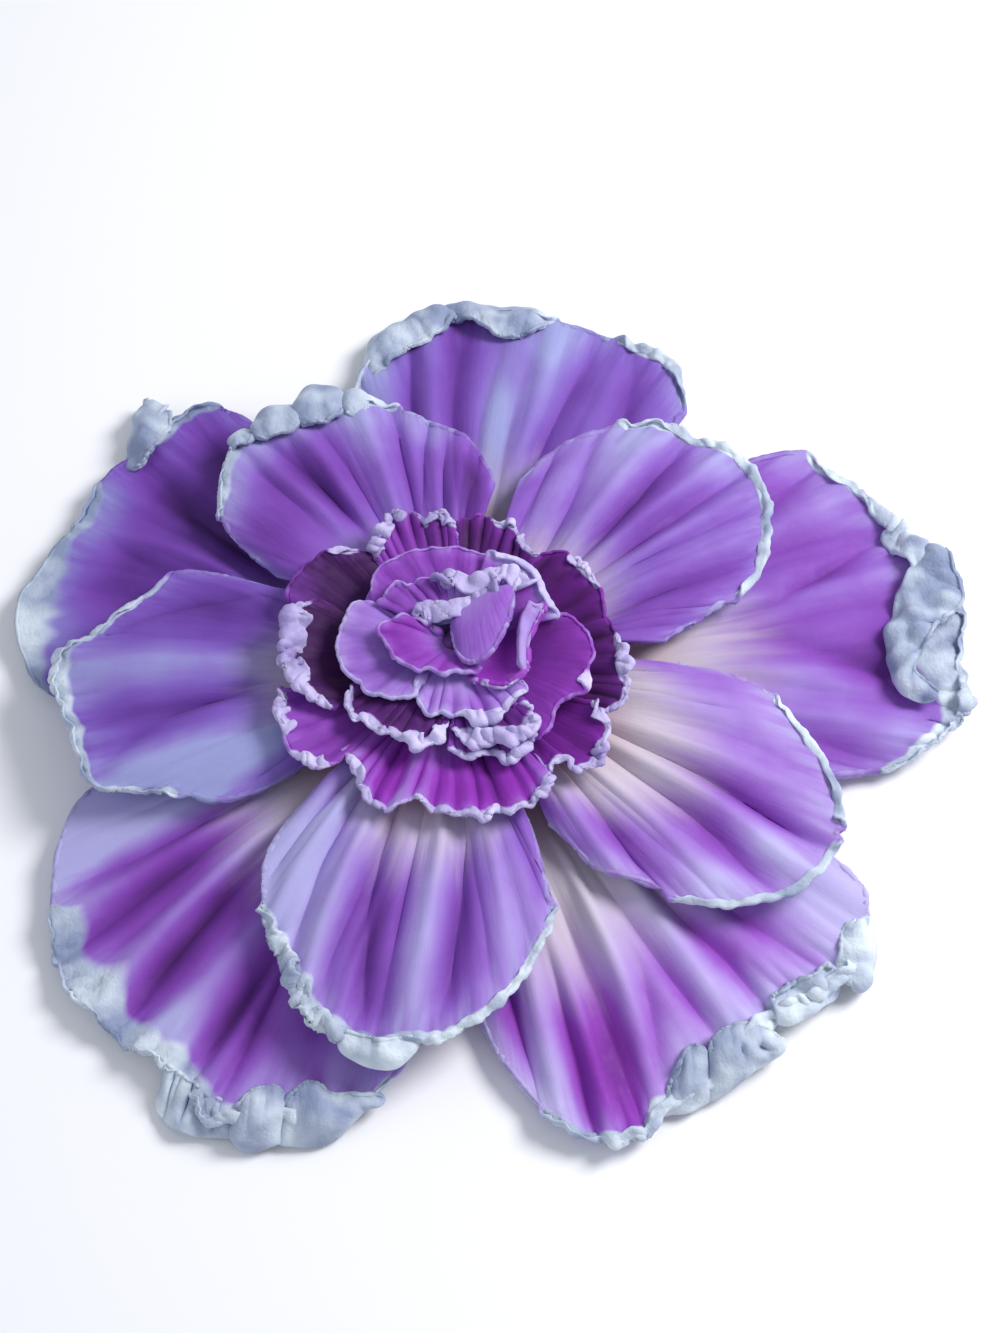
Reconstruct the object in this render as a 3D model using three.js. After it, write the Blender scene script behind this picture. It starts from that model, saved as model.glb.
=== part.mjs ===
// A double clematis bloom, face up: five outer petals and five inner petals set alternately round
// a stepped receptacle, with a pleated collar, a ring of flounces and a crinkled heart above them.
// Millimetres. +Z points up out of the bloom's face, +Y towards its top petal, and the origin is
// the middle of the flat foot that it rests on.
import * as THREE from 'three';

// ---- Driving dimensions ------------------------------------------------------------------------

const SHEET = 0.8; // thickness of every petal and ruffle
const CLEARANCE = 0.3; // air between a petal or ruffle and the receptacle that carries it

const FOOT_RADIUS = 6.2; // the flat underside of the receptacle
const CLAW_RADIUS = 7; // where the petals' claws stand round the receptacle
const CLAW_HALF_WIDTH = 3.5;
const CLAW_TOP = 8.6; // first shoulder: the collar sits on it
const NECK_RADIUS = 4;
const NECK_TOP = 11.6; // second shoulder: the flounces sit on it
const TIP_RADIUS = 1.6;
const TIP_TOP = 15.8; // the tip stands in the middle of the heart
const FOOT_CHAMFER = 0.5;
const RECEPTACLE_SIDES = 32;

const PETAL_ROWS = 8; // steps from a petal's claw to its rim
const PETAL_COLUMN = 4.5; // widest step across a petal's fan, in degrees
const RUFFLE_ROWS = 4; // steps from a ruffle's ring to its rim
const STEPS_PER_PLEAT = 4;
const LOBE_NOTCH = 0.14; // how far a ruffle's rim draws in between two lobes, as a share of its reach

// Heights along a petal's middle at equal steps from claw to rim, and the rise of its folds there.
const OUTER_WHORL = { heights: [3, 4.2, 4.9, 4.6, 3.6, 2.6], fold: 0.9 };
const INNER_WHORL = { heights: [6.4, 7.7, 8.9, 9.5, 9, 7.9], fold: 1 };

// Each petal is a fan. azimuth is where it points, in degrees, counter-clockwise from +X. Angles in
// the fan are counted from there, so fan gives its right-hand and left-hand edges as seen from the
// middle of the bloom looking outwards. reach is how far the rim lies from the claw, at equal angles
// from the right-hand edge to the left-hand one. ridges are the crests of its folds, and sides is how
// much the right-hand and left-hand edges of the rim stand above its middle.
const PETALS = [
  {
    name: 'outer_petal_top', whorl: OUTER_WHORL, azimuth: 79, fan: [-38, 44], sides: [0.6, 0.2],
    reach: [27, 43.5, 52, 52.8, 53.6, 54.4, 54.3, 53.2, 49, 38, 25],
    ridges: [-30, -15, -4, 7, 18, 30],
  },
  {
    name: 'outer_petal_right', whorl: OUTER_WHORL, azimuth: 6.5, fan: [-34, 46], sides: [-0.4, 0.8],
    reach: [27, 41, 51.5, 58, 57.8, 59.6, 57.4, 56.2, 54, 51, 33],
    ridges: [-25, -14, -3, 9, 22, 35],
  },
  {
    name: 'outer_petal_lower_right', whorl: OUTER_WHORL, azimuth: -58, fan: [-40, 42], sides: [-0.6, 0.4],
    reach: [26, 41, 51.4, 56.8, 56, 56.5, 54.3, 56.4, 55.8, 50, 32],
    ridges: [-29, -17, -7, 5, 18, 31],
  },
  {
    name: 'outer_petal_lower_left', whorl: OUTER_WHORL, azimuth: -124, fan: [-54, 36], sides: [0.6, -0.5],
    reach: [27, 42, 47.6, 51.2, 54.2, 54.6, 54.3, 58.2, 56.5, 51.2, 38],
    ridges: [-41, -30, -19, -8, 5, 19],
  },
  {
    name: 'outer_petal_left', whorl: OUTER_WHORL, azimuth: 157, fan: [-46, 36], sides: [0.8, 0],
    reach: [26, 45, 51.5, 51, 50.2, 49, 50.3, 51.5, 49.5, 44.5, 27],
    ridges: [-34, -16, 0, 18],
  },
  {
    name: 'inner_petal_upper_left', whorl: INNER_WHORL, azimuth: 113, fan: [-44, 48], sides: [0.4, 0.2],
    reach: [23, 28, 31, 33.6, 37, 40, 39.8, 39, 35.3, 31, 21],
    ridges: [-34, -22, -9, 4, 18, 32],
  },
  {
    name: 'inner_petal_upper_right', whorl: INNER_WHORL, azimuth: 42, fan: [-46, 42], sides: [0.2, 0.6],
    reach: [21.5, 26, 33.8, 38, 41.2, 42.6, 40.4, 38.8, 35.3, 30, 23.6],
    ridges: [-35, -23, -11, 1, 13, 28],
  },
  {
    name: 'inner_petal_lower_right', whorl: INNER_WHORL, azimuth: -27, fan: [-48, 38], sides: [-0.4, 0.2],
    reach: [19, 27, 32, 39, 43.4, 45.4, 44.6, 40.8, 36, 31.5, 22],
    ridges: [-38, -27, -16, -5, 8, 23],
  },
  {
    name: 'inner_petal_bottom', whorl: INNER_WHORL, azimuth: -98, fan: [-50, 44], sides: [0.8, 0.4],
    reach: [18.8, 28.6, 34.2, 38.5, 43.6, 45.4, 43.2, 39.8, 35, 29, 17.3],
    ridges: [-36, -12, 6, 28],
  },
  {
    name: 'inner_petal_left', whorl: INNER_WHORL, azimuth: 183, fan: [-40, 47], sides: [0.6, -0.2],
    reach: [20.5, 31, 33.8, 38, 43.2, 42.4, 41, 40, 32, 28, 18.5],
    ridges: [-27, -8, 8, 24],
  },
];

// Each ruffle is one gathered ring. Its lobes are [azimuth, half width in degrees, reach of the rim
// from the bloom's axis, height of the rim]. heights run from the ring to the rim, as shares of the
// way from the ring's height to the lobe's. frill is the rise of the pleats at the rim.
const RUFFLES = [
  {
    name: 'collar', colour: 0x74308f, ring: NECK_RADIUS, base: 9.4, pleats: 30, frill: 0.6,
    heights: [0, 0.1, 0.32, 0.68, 1],
    lobes: [
      [106, 19, 22.6, 13.2], [72, 16, 20.2, 13], [37, 18, 21.2, 12.8], [-3, 20, 22, 12.8],
      [-38, 17, 22.4, 12.4], [-72, 17, 22.6, 12.2], [-106, 18, 22.4, 12.4], [-150, 18, 23.4, 12.8],
      [178, 16, 22.2, 13.6], [145, 18, 23.6, 13.2],
    ],
  },
  {
    name: 'flounces', colour: 0x9c6fc9, ring: TIP_RADIUS, base: 12.4, pleats: 22, frill: 0.5,
    heights: [0, 0.35, 0.8, 1.1, 1],
    lobes: [
      [96, 38, 14.6, 15.4], [170, 34, 14.4, 15.2], [-126, 32, 15.8, 14.4], [-66, 28, 16.8, 14.4],
      [-8, 34, 17, 14.8], [44, 20, 14.2, 15.4],
    ],
  },
  {
    name: 'heart', colour: 0xa765cc, ring: TIP_RADIUS, base: 15.4, pleats: 12, frill: 0.4,
    heights: [0, 0.3, 0.62, 0.88, 1],
    lobes: [[84, 48, 7.4, 18.4], [-14, 44, 7, 20], [-72, 32, 7, 18.6], [-158, 52, 8.6, 17.6]],
  },
];

const PETAL_COLOUR = 0xb48fdd;
const RECEPTACLE_COLOUR = 0x8d8fae;

// ---- Curves ------------------------------------------------------------------------------------

const radians = THREE.MathUtils.degToRad;

// The value at share (0 to 1) of the way along evenly spaced values, on a smooth curve through them.
function valueAlong(values, share) {
  const curve = new THREE.SplineCurve(values.map((value, i) => new THREE.Vector2(i, value)));
  return curve.getPoint(share).y;
}

// +1 on a ridge and -1 halfway between two ridges. Past the outermost ridges it falls to -1 and stays.
function foldWave(ridges, angle) {
  const ridgesBefore = ridges.filter((ridge) => ridge <= angle).length;
  const next = THREE.MathUtils.clamp(ridgesBefore, 1, ridges.length - 1);
  const spacing = ridges[next] - ridges[next - 1];
  const past = THREE.MathUtils.clamp((angle - ridges[next - 1]) / spacing, -0.5, 1.5);
  return Math.cos(2 * Math.PI * past);
}

// The fan angles of a petal's columns: one on each edge, ridge and valley, and even steps between.
function columnAngles({ fan, ridges }) {
  const valleys = ridges.slice(1).map((ridge, i) => (ridge + ridges[i]) / 2);
  const lines = [...fan, ...ridges, ...valleys].sort((a, b) => a - b);
  const angles = [lines[0]];
  for (const [i, line] of lines.slice(1).entries()) {
    const steps = Math.ceil((line - lines[i]) / PETAL_COLUMN);
    for (let step = 1; step <= steps; step += 1) {
      angles.push(lines[i] + ((line - lines[i]) * step) / steps);
    }
  }
  return angles;
}

// ---- Sheets ------------------------------------------------------------------------------------

// Gives a sheet its thickness. middle[column][row] are the points of its middle surface. The upper
// and lower faces lie straight above and below them, split into triangles alike, and a wall closes
// the edges. A steep stretch is cut thicker upright, so that it is SHEET thick square to its face.
function sheetGeometry(middle, isRing) {
  const columns = middle.length;
  const rows = middle[0].length;
  const columnBefore = (c) => (isRing ? (c + columns - 1) % columns : Math.max(c - 1, 0));
  const columnAfter = (c) => (isRing ? (c + 1) % columns : Math.min(c + 1, columns - 1));
  const positions = [];
  for (const side of [1, -1]) {
    for (let c = 0; c < columns; c += 1) {
      for (let r = 0; r < rows; r += 1) {
        const across = middle[columnAfter(c)][r].clone().sub(middle[columnBefore(c)][r]);
        const outward = middle[c][Math.min(r + 1, rows - 1)].clone().sub(middle[c][Math.max(r - 1, 0)]);
        const normal = outward.cross(across).normalize();
        const upright = SHEET / Math.max(Math.abs(normal.z), 0.4);
        const { x, y, z } = middle[c][r];
        positions.push(x, y, z + (side * upright) / 2);
      }
    }
  }

  const upper = (c, r) => (c % columns) * rows + r;
  const lower = (c, r) => columns * rows + upper(c, r);
  const triangles = [];
  const quad = (a, b, c, d) => triangles.push(a, b, c, a, c, d);
  const spans = isRing ? columns : columns - 1;
  for (let c = 0; c < spans; c += 1) {
    for (let r = 0; r < rows - 1; r += 1) {
      quad(upper(c, r), upper(c, r + 1), upper(c + 1, r + 1), upper(c + 1, r));
      triangles.push(lower(c, r), lower(c + 1, r + 1), lower(c, r + 1));
      triangles.push(lower(c, r), lower(c + 1, r), lower(c + 1, r + 1));
    }
    const rim = rows - 1;
    quad(upper(c, rim), lower(c, rim), lower(c + 1, rim), upper(c + 1, rim));
    quad(lower(c, 0), upper(c, 0), upper(c + 1, 0), lower(c + 1, 0));
  }
  for (let r = 0; r < rows - 1 && !isRing; r += 1) {
    const end = columns - 1;
    quad(upper(0, r), lower(0, r), lower(0, r + 1), upper(0, r + 1));
    quad(lower(end, r), upper(end, r), upper(end, r + 1), lower(end, r + 1));
  }

  const geometry = new THREE.BufferGeometry();
  geometry.setAttribute('position', new THREE.Float32BufferAttribute(positions, 3));
  geometry.setIndex(triangles);
  geometry.computeVertexNormals();
  return geometry;
}

// A petal lying along +X, with its claw against the receptacle. The mesh is turned to its azimuth.
function petalGeometry(petal) {
  const { fan, reach, ridges, sides, whorl } = petal;
  const claw = CLAW_RADIUS;
  const middle = columnAngles(petal).map((angle) => {
    const share = (angle - fan[0]) / (fan[1] - fan[0]);
    const start = new THREE.Vector2(claw, CLAW_HALF_WIDTH * (2 * share - 1));
    const length = valueAlong(reach, share);
    const rim = new THREE.Vector2(claw + length * Math.cos(radians(angle)), length * Math.sin(radians(angle)));
    const edge = 2 * share - 1;
    const lift = (edge < 0 ? sides[0] : sides[1]) * edge * edge;
    return Array.from({ length: PETAL_ROWS + 1 }, (_, row) => {
      const out = row / PETAL_ROWS;
      const plan = start.clone().lerp(rim, out);
      const fold = whorl.fold * THREE.MathUtils.smoothstep(out, 0, 0.75) * foldWave(ridges, angle);
      return new THREE.Vector3(plan.x, plan.y, valueAlong(whorl.heights, out) + lift * out + fold);
    });
  });
  return sheetGeometry(middle, false);
}

// The rim of a ruffle at an azimuth: its reach and height, blended between the lobes on either side.
function ruffleRim(lobes, azimuth) {
  let total = 0;
  let reach = 0;
  let height = 0;
  let nearest = 1;
  for (const [lobeAzimuth, halfWidth, lobeReach, lobeHeight] of lobes) {
    const turn = THREE.MathUtils.euclideanModulo(azimuth - lobeAzimuth + 180, 360) - 180;
    const off = Math.abs(turn) / halfWidth;
    const weight = Math.exp(-2 * off * off);
    total += weight;
    reach += weight * lobeReach;
    height += weight * lobeHeight;
    nearest = Math.min(nearest, off);
  }
  return { reach: (reach / total) * (1 - LOBE_NOTCH * nearest ** 4), height: height / total };
}

// A gathered ring round the receptacle, which widens from a plain ring to a pleated, lobed rim.
function ruffleGeometry({ ring, base, pleats, frill, heights, lobes }) {
  const columns = pleats * STEPS_PER_PLEAT;
  const inner = ring + CLEARANCE;
  const middle = Array.from({ length: columns }, (_, column) => {
    const azimuth = (360 * column) / columns;
    const rim = ruffleRim(lobes, azimuth);
    const pleat = Math.cos((2 * Math.PI * column) / STEPS_PER_PLEAT);
    return Array.from({ length: RUFFLE_ROWS + 1 }, (_, row) => {
      const out = row / RUFFLE_ROWS;
      const radius = inner + (rim.reach - inner) * out;
      const height = base + (rim.height - base) * valueAlong(heights, out) + frill * out * pleat;
      return new THREE.Vector3(
        radius * Math.cos(radians(azimuth)), radius * Math.sin(radians(azimuth)), height,
      );
    });
  });
  return sheetGeometry(middle, true);
}

// The stepped post in the middle: a flat foot, a wall for the claws, and a shoulder for each ruffle.
function receptacleGeometry() {
  const wall = CLAW_RADIUS - CLEARANCE;
  const profile = [
    [0, 0], [FOOT_RADIUS, 0], [wall, FOOT_CHAMFER], [wall, CLAW_TOP],
    [NECK_RADIUS, CLAW_TOP], [NECK_RADIUS, NECK_TOP],
    [TIP_RADIUS, NECK_TOP], [TIP_RADIUS, TIP_TOP], [0, TIP_TOP],
  ];
  const geometry = new THREE.LatheGeometry(profile.map(([x, y]) => new THREE.Vector2(x, y)), RECEPTACLE_SIDES);
  return geometry.rotateX(Math.PI / 2);
}

// ---- The bloom ---------------------------------------------------------------------------------

function namedMesh(name, geometry, colour) {
  const material = new THREE.MeshStandardMaterial({ color: colour, roughness: 0.75, metalness: 0 });
  const mesh = new THREE.Mesh(geometry, material);
  mesh.name = name;
  return mesh;
}

const bloom = new THREE.Group();
bloom.add(namedMesh('receptacle', receptacleGeometry(), RECEPTACLE_COLOUR));
for (const petal of PETALS) {
  const mesh = namedMesh(petal.name, petalGeometry(petal), PETAL_COLOUR);
  mesh.rotation.z = radians(petal.azimuth);
  bloom.add(mesh);
}
for (const ruffle of RUFFLES) {
  bloom.add(namedMesh(ruffle.name, ruffleGeometry(ruffle), ruffle.colour));
}

export default bloom;
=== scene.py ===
"""Looks of a double clematis bloom, face up, made of thin soft sheet dyed violet with a pale rolled rim.

Shapes are worked out in millimetres and turned into metres as each mesh is made. +Z points up out of
the bloom's face and +Y towards its top petal.
"""

import math

import bpy
import numpy as np
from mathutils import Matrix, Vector, noise


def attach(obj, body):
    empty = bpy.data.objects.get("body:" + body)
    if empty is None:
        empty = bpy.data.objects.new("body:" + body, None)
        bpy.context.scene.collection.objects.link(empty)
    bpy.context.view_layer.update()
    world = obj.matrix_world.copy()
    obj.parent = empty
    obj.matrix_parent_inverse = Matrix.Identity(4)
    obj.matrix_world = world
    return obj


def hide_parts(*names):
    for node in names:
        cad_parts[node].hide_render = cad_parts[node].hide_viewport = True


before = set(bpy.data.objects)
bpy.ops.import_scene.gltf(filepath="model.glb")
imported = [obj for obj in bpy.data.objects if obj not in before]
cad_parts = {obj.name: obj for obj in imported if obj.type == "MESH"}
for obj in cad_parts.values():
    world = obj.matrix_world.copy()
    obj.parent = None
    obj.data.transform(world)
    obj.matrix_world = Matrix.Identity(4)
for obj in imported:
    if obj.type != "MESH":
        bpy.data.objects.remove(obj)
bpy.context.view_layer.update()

# ---- Sizes, in millimetres and degrees -------------------------------------------------------------

METRES = 0.001  # one millimetre

SHEET = 0.8  # thickness of every petal
FRILL_SHEET = 0.6  # thickness of the rosette's lobes
CLAW_RADIUS = 7.0  # where the petals' claws stand round the receptacle
CLAW_HALF_WIDTH = 3.5

PETAL_STEP = 0.38  # along a petal's rim, between two columns of its mesh
PETAL_ROWS = 46  # steps from the claw to where the rim starts to roll
LOBE_STEP = 0.24
LOBE_ROWS = 26
ROLL_ROWS = 9
FLAP_ROWS = 6
LIP_ROWS = 4  # steps that round off the sheet's cut edge
LIP_BLUNTNESS = 0.12  # of a step, so that the cut edge keeps some thickness
FINE_STEPS = 2001  # places where an edge is measured before its columns are set out
LEAST_GAP_SHARE = 0.15  # how narrow a sheet's foot counts as, when its side edges are rounded off

PETAL_CREASES = 16  # small ones at random, besides each petal's own folds
PETAL_KNOB = 1.3  # width of the knobs that a petal's rim is pinched into

OUTER_HEIGHTS = [3, 4.2, 4.9, 4.6, 3.6, 2.6]  # along a petal's middle, at equal steps from claw to rim
INNER_HEIGHTS = [6.4, 7.7, 8.9, 9.5, 9, 7.9]

# Every piece has noise of its own, from its seed.
SEED_SHIFT = [7.31, 3.17, 5.53]
SEED_STEP = 20
PETAL_SEED = 3
LOBE_SEED = 300
RUFFLE_SEED_STEP = 200
ROLL_SEED = 1200
CORE_SEED = 61

# ---- Curves and noise ------------------------------------------------------------------------------


def along(values, share):
    """The value at share (0 to 1) of the way along evenly spaced values, on a smooth curve through them."""
    values = np.asarray(values, float)
    last = len(values) - 1
    place = np.clip(share, 0, 1) * last
    first = np.minimum(place.astype(int), last - 1)
    t = place - first
    before = values[np.maximum(first - 1, 0)]
    here = values[first]
    there = values[first + 1]
    after = values[np.minimum(first + 2, last)]
    leaving = (there - before) / 2
    arriving = (after - here) / 2
    cubic = 2 * here - 2 * there + leaving + arriving
    square = 3 * there - 3 * here - 2 * leaving - arriving
    return cubic * t**3 + square * t**2 + leaving * t + here


def eased(x, low, high):
    """0 below low, 1 above high, and smooth in between."""
    t = np.clip((x - low) / (high - low), 0, 1)
    return t * t * (3 - 2 * t)


def lumps(points, size, seed):
    """Smooth noise from about -1 to 1 at each point, its lumps about size apart."""
    shift = Vector([seed * step for step in SEED_SHIFT])
    flat = [noise.noise(Vector(p) / size + shift) for p in points.reshape(-1, 3)]
    return np.array(flat).reshape(points.shape[:-1])


def wander(distance, size, seed):
    """Smooth noise along a line, at these distances from its start."""
    points = np.zeros(np.shape(distance) + (3,))
    points[..., 0] = distance
    return lumps(points, size, seed)


def averaged(rows, reach):
    """Each row of an array blended with its neighbours up to reach rows away."""
    padded = np.pad(rows, [(reach, reach)] + [(0, 0)] * (rows.ndim - 1), mode="edge")
    total = sum(padded[i : i + len(rows)] for i in range(2 * reach + 1))
    return total / (2 * reach + 1)


def unit(vectors):
    return vectors / np.maximum(np.linalg.norm(vectors, axis=-1, keepdims=True), 1e-9)


def differences(points, axis):
    """From the point before to the point after each one."""
    return np.gradient(points, axis=axis) * 2


def facing(surface):
    """The direction that each point of a sheet faces."""
    return unit(np.cross(differences(surface, 1), differences(surface, 0)))


def distances(steps):
    """How far each point of a line is from its start, from the lengths between the points."""
    return np.concatenate([[0], np.cumsum(steps)])


# ---- Sheets ----------------------------------------------------------------------------------------


def rows_out(rows, crowding):
    """Each row's share of the way from foot to rim, the rows drawing closer together towards the rim."""
    return 1 - (1 - np.arange(rows + 1) / rows) ** crowding


def grid(columns, rows):
    """One value for each column and one for each row, both spread over all of a sheet's points."""
    return np.repeat(columns[:, None], len(rows), 1), np.repeat(rows[None, :], len(columns), 0)


def roll_rim(middle, rim):
    """Carries a sheet on past its last row, up and over in a roll and back in a flap, to its cut edge.

    middle[column][row] are points of the sheet's middle surface. Returns the longer surface, how far each
    of its points lies beyond the start of the roll, which is negative inside it, and at each column the
    directions along the rim, out of it and up from it.
    """
    across = unit(averaged(differences(middle[:, -1], 0), 3))
    outward = middle[:, -1] - middle[:, -4]
    upward = unit(averaged(unit(np.cross(outward, across)), 4))
    outward = unit(np.cross(across, upward))

    turn = np.radians(rim["turn"])
    steps = [(rim["roll"] * turn / ROLL_ROWS, turn / ROLL_ROWS)] * ROLL_ROWS
    steps += [(rim["flap"] / FLAP_ROWS, 0 * turn)] * FLAP_ROWS
    rounded = [math.sin(math.pi / 2 * row / LIP_ROWS) for row in range(LIP_ROWS + 1)]
    for before, after in zip(rounded, rounded[1:]):
        steps.append((0 * turn + rim["sheet"] / 2 * (after - before), 0 * turn))

    inside = np.linalg.norm(middle - middle[:, -1:], axis=-1)
    rows = list(middle.swapaxes(0, 1))
    beyond = list(-inside.T)
    heading = 0 * turn
    for length, bend in steps:
        way = heading + bend / 2
        step = np.cos(way)[:, None] * outward + np.sin(way)[:, None] * upward
        rows.append(rows[-1] + step * length[:, None])
        beyond.append(beyond[-1] + length)
        heading = heading + bend
    return np.stack(rows, 1), np.stack(beyond, 1), (across, outward, upward)


# How pinched foam is pushed about: [how far, size of the lumps in knobs].
BUCKLE = [0.8, 1.6]
CREASE = [0.6, 1.2]
ROUGHNESS = [0.25, 0.6]
DRIFTS = [0.9, 0.7, 0.4]  # out of the rim, up from it and along it
DRIFT_SIZE = 1.7
CREASE_SHARPNESS = 2.2


def crumple(middle, beyond, distance, rim, axes, seed):
    """Pushes the rim about, as thin foam buckles and creases when it is pinched and rolled."""
    near = eased(beyond, -1.4 * rim["band"][:, None] - 0.8, 0)
    amount = (rim["crumple"][:, None] * near)[..., None]
    across, outward, upward = (axis[:, None, :] for axis in axes)
    knob = rim["knob"]
    slanting = np.dstack([distance[:, None] + 0.7 * beyond, 0.45 * beyond, 0 * beyond])
    buckle = lumps(slanting, BUCKLE[1] * knob, seed)
    crease = 1 - CREASE_SHARPNESS * np.abs(lumps(slanting, CREASE[1] * knob, seed + 1))
    rough = lumps(middle, ROUGHNESS[1] * knob, seed + 2)
    lifted = BUCKLE[0] * buckle + CREASE[0] * crease + ROUGHNESS[0] * rough
    moved = facing(middle) * lifted[..., None]
    for number, (axis, drift) in enumerate(zip((outward, upward, across), DRIFTS), 3):
        moved = moved + axis * drift * lumps(middle, DRIFT_SIZE * knob, seed + number)[..., None]
    return middle + amount * moved


def gap_to_side(distance, length, share, rows):
    """How far each point of a sheet is from its nearer side edge, which is less towards its narrow foot."""
    at_rim = np.minimum(distance, length - distance)[:, None]
    return at_rim * np.maximum(last_row(share, rows), LEAST_GAP_SHARE)


def thicken(middle, beyond, rim, side_gap, seed):
    """The upper and lower faces of a sheet, with its cut edges rounded off."""
    normal = facing(middle)
    near = eased(beyond, -0.8 * rim["band"][:, None] - 1, 0.5)
    uneven = np.clip(2 * rim["crumple"], 0, 0.3)[:, None] * lumps(middle, rim["knob"], seed + 7)
    half = rim["sheet"] / 2 * (1 + near * (rim["thick"][:, None] - 1 + uneven))
    lip = np.ones(middle.shape[1])
    lip[-LIP_ROWS - 1 :] = np.cos(math.pi / 2 * np.arange(LIP_ROWS + 1) / (LIP_ROWS + LIP_BLUNTNESS))
    from_side = np.clip(side_gap / (rim["sheet"] / 2), 0, 1)
    half = half * lip
    half = half * np.maximum(np.sqrt(1 - (1 - from_side) ** 2), 0.1)
    return middle + normal * half[..., None], middle - normal * half[..., None]


def wall(near, far):
    """Corners of the faces that join a row of points to the row beside it."""
    return np.stack([near[:-1], far[:-1], far[1:], near[1:]], -1)


def sheet_faces(columns, rows):
    """Corners of every face round a sheet: both sides, the rim, the foot and the two side edges."""
    upper = np.arange(columns * rows).reshape(columns, rows)
    lower = upper + columns * rows
    top = np.stack([upper[:-1, :-1], upper[:-1, 1:], upper[1:, 1:], upper[1:, :-1]], -1).reshape(-1, 4)
    rim, foot = wall(upper[:, -1], lower[:, -1]), wall(lower[:, 0], upper[:, 0])
    right, left = wall(upper[0], lower[0]), wall(lower[-1], upper[-1])
    return np.concatenate([top, top[:, ::-1] + columns * rows, rim, foot, right, left])


def mesh_object(name, points, faces):
    """An object in the scene, from points in millimetres and the corners of its faces."""
    mesh = bpy.data.meshes.new(name)
    mesh.from_pydata((points * METRES).tolist(), [], faces)
    made = bpy.data.objects.new(name, mesh)
    bpy.context.scene.collection.objects.link(made)
    return made


def sheet_object(name, middle, beyond, rim, side_gap, seed, paint):
    """A mesh object from a sheet's middle surface. paint holds one number a point, by attribute name."""
    upper, lower = thicken(middle, beyond, rim, side_gap, seed)
    points = np.concatenate([upper.reshape(-1, 3), lower.reshape(-1, 3)])
    made = mesh_object(name, points, sheet_faces(*beyond.shape).tolist())
    brushed = {attribute: np.tile(values.ravel(), 2) for attribute, values in paint.items()}
    brushed["underside"] = np.repeat([0.0, 1.0], beyond.size)
    for attribute, values in brushed.items():
        data = made.data.attributes.new(attribute, "FLOAT", "POINT").data
        data.foreach_set("value", values.astype(np.float32))
    made.data.shade_smooth()
    made.data.validate()
    return made


def rim_along(table, places, distance, knob, sheet, seed):
    """The rim's make at each place along it, from a table of [place, band, roll, turn, flap, crumple] rows.

    band is how far the pale edge reaches in, roll the radius the edge is rolled to, turn how far it turns
    over, flap the width lying back beyond the roll, and crumple how far it is pushed about. Where turn is
    below zero the edge doubles back under itself in a short bead, or hides it in the sheet if roll is
    small. knob is the width of the knobs that the roll is pinched into, and sheet is the sheet's thickness.
    """
    table = np.array(table, float)
    band, roll, turn, flap, pinch = (np.interp(places, table[:, 0], table[:, i]) for i in range(1, 6))
    uneven = eased(band, 0.1, 0.8)
    bead = 1 + uneven * (0.3 * wander(distance, knob, seed) + 0.35 * wander(distance, 3 * knob, seed + 1))
    thin = 1 - 0.55 * uneven * (1 - eased(flap, 0.3, 1.6))
    return {
        "band": band * (1 + 0.4 * wander(distance, 2 * knob, seed + 2)),
        "roll": np.maximum(averaged(roll * bead, 1), 0.1),
        "turn": turn * (1 + 0.3 * uneven * wander(distance, 2.5 * knob, seed + 3)),
        "flap": flap * (1 + 0.5 * wander(distance, 2 * knob, seed + 4)) + 0.05,
        "crumple": pinch,
        "thick": thin,
        "knob": knob,
        "sheet": sheet,
    }


def spaced(length, step, sheet):
    """Distances along an edge at about equal steps, closer together where its two ends are rounded off."""
    end = sheet / 2 * (1 - np.cos(math.pi / 2 * np.arange(LIP_ROWS) / LIP_ROWS))
    inner = np.linspace(sheet / 2, length - sheet / 2, round(length / step))
    return np.concatenate([end, inner, length - end[::-1]])


def overhang(rim):
    """How far a rolled rim reaches out past the row that it starts from."""
    return rim["roll"] * np.sin(np.radians(np.minimum(np.abs(rim["turn"]), 90)))


def last_row(values, rows):
    """An array with its last row along the sheet repeated, so that it covers the rolled rim too."""
    return np.pad(values, ((0, 0), (0, rows - values.shape[1])), mode="edge")


def washed(washes, across, out):
    """The dye that brushed-on washes leave at each place across a sheet and share of the way out, some of it
    painted shade and painted highlights.
    """
    total = np.zeros(out.shape)
    for middle, centre, half_width, half_length, amount in washes:
        off = ((across - middle) / half_width) ** 2 + ((out - centre) / half_length) ** 2
        total += amount * np.exp(-off)
    return total


def painted(rim, beyond, share, across, folds, dye, place):
    """The numbers that a sheet's dye, with its painted shade and highlights, is brushed on by, one at each of
    its points.
    """
    rows = beyond.shape[1]
    share = last_row(share, rows)
    place = last_row(place, rows)
    band = rim["band"][:, None] * np.clip(1 + 0.3 * last_row(folds, rows), 0.6, 1.3)
    soft = dye.get("soft", 0)
    white = 1 - eased(-beyond, (0.45 - soft) * band, (1.2 + soft) * band + 0.2)
    return {
        "share": share,
        "across": last_row(across, rows),
        "hollow": last_row(-folds, rows),
        "deep": washed(dye["deep"], place, share),
        "pale": washed(dye["pale"], place, share),
        "white": np.maximum(white * eased(rim["band"], 0.15, 0.6)[:, None], dye.get("bare", 0)),
    }


def belongs(made, node):
    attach(made, "root")
    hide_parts(node)
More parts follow.
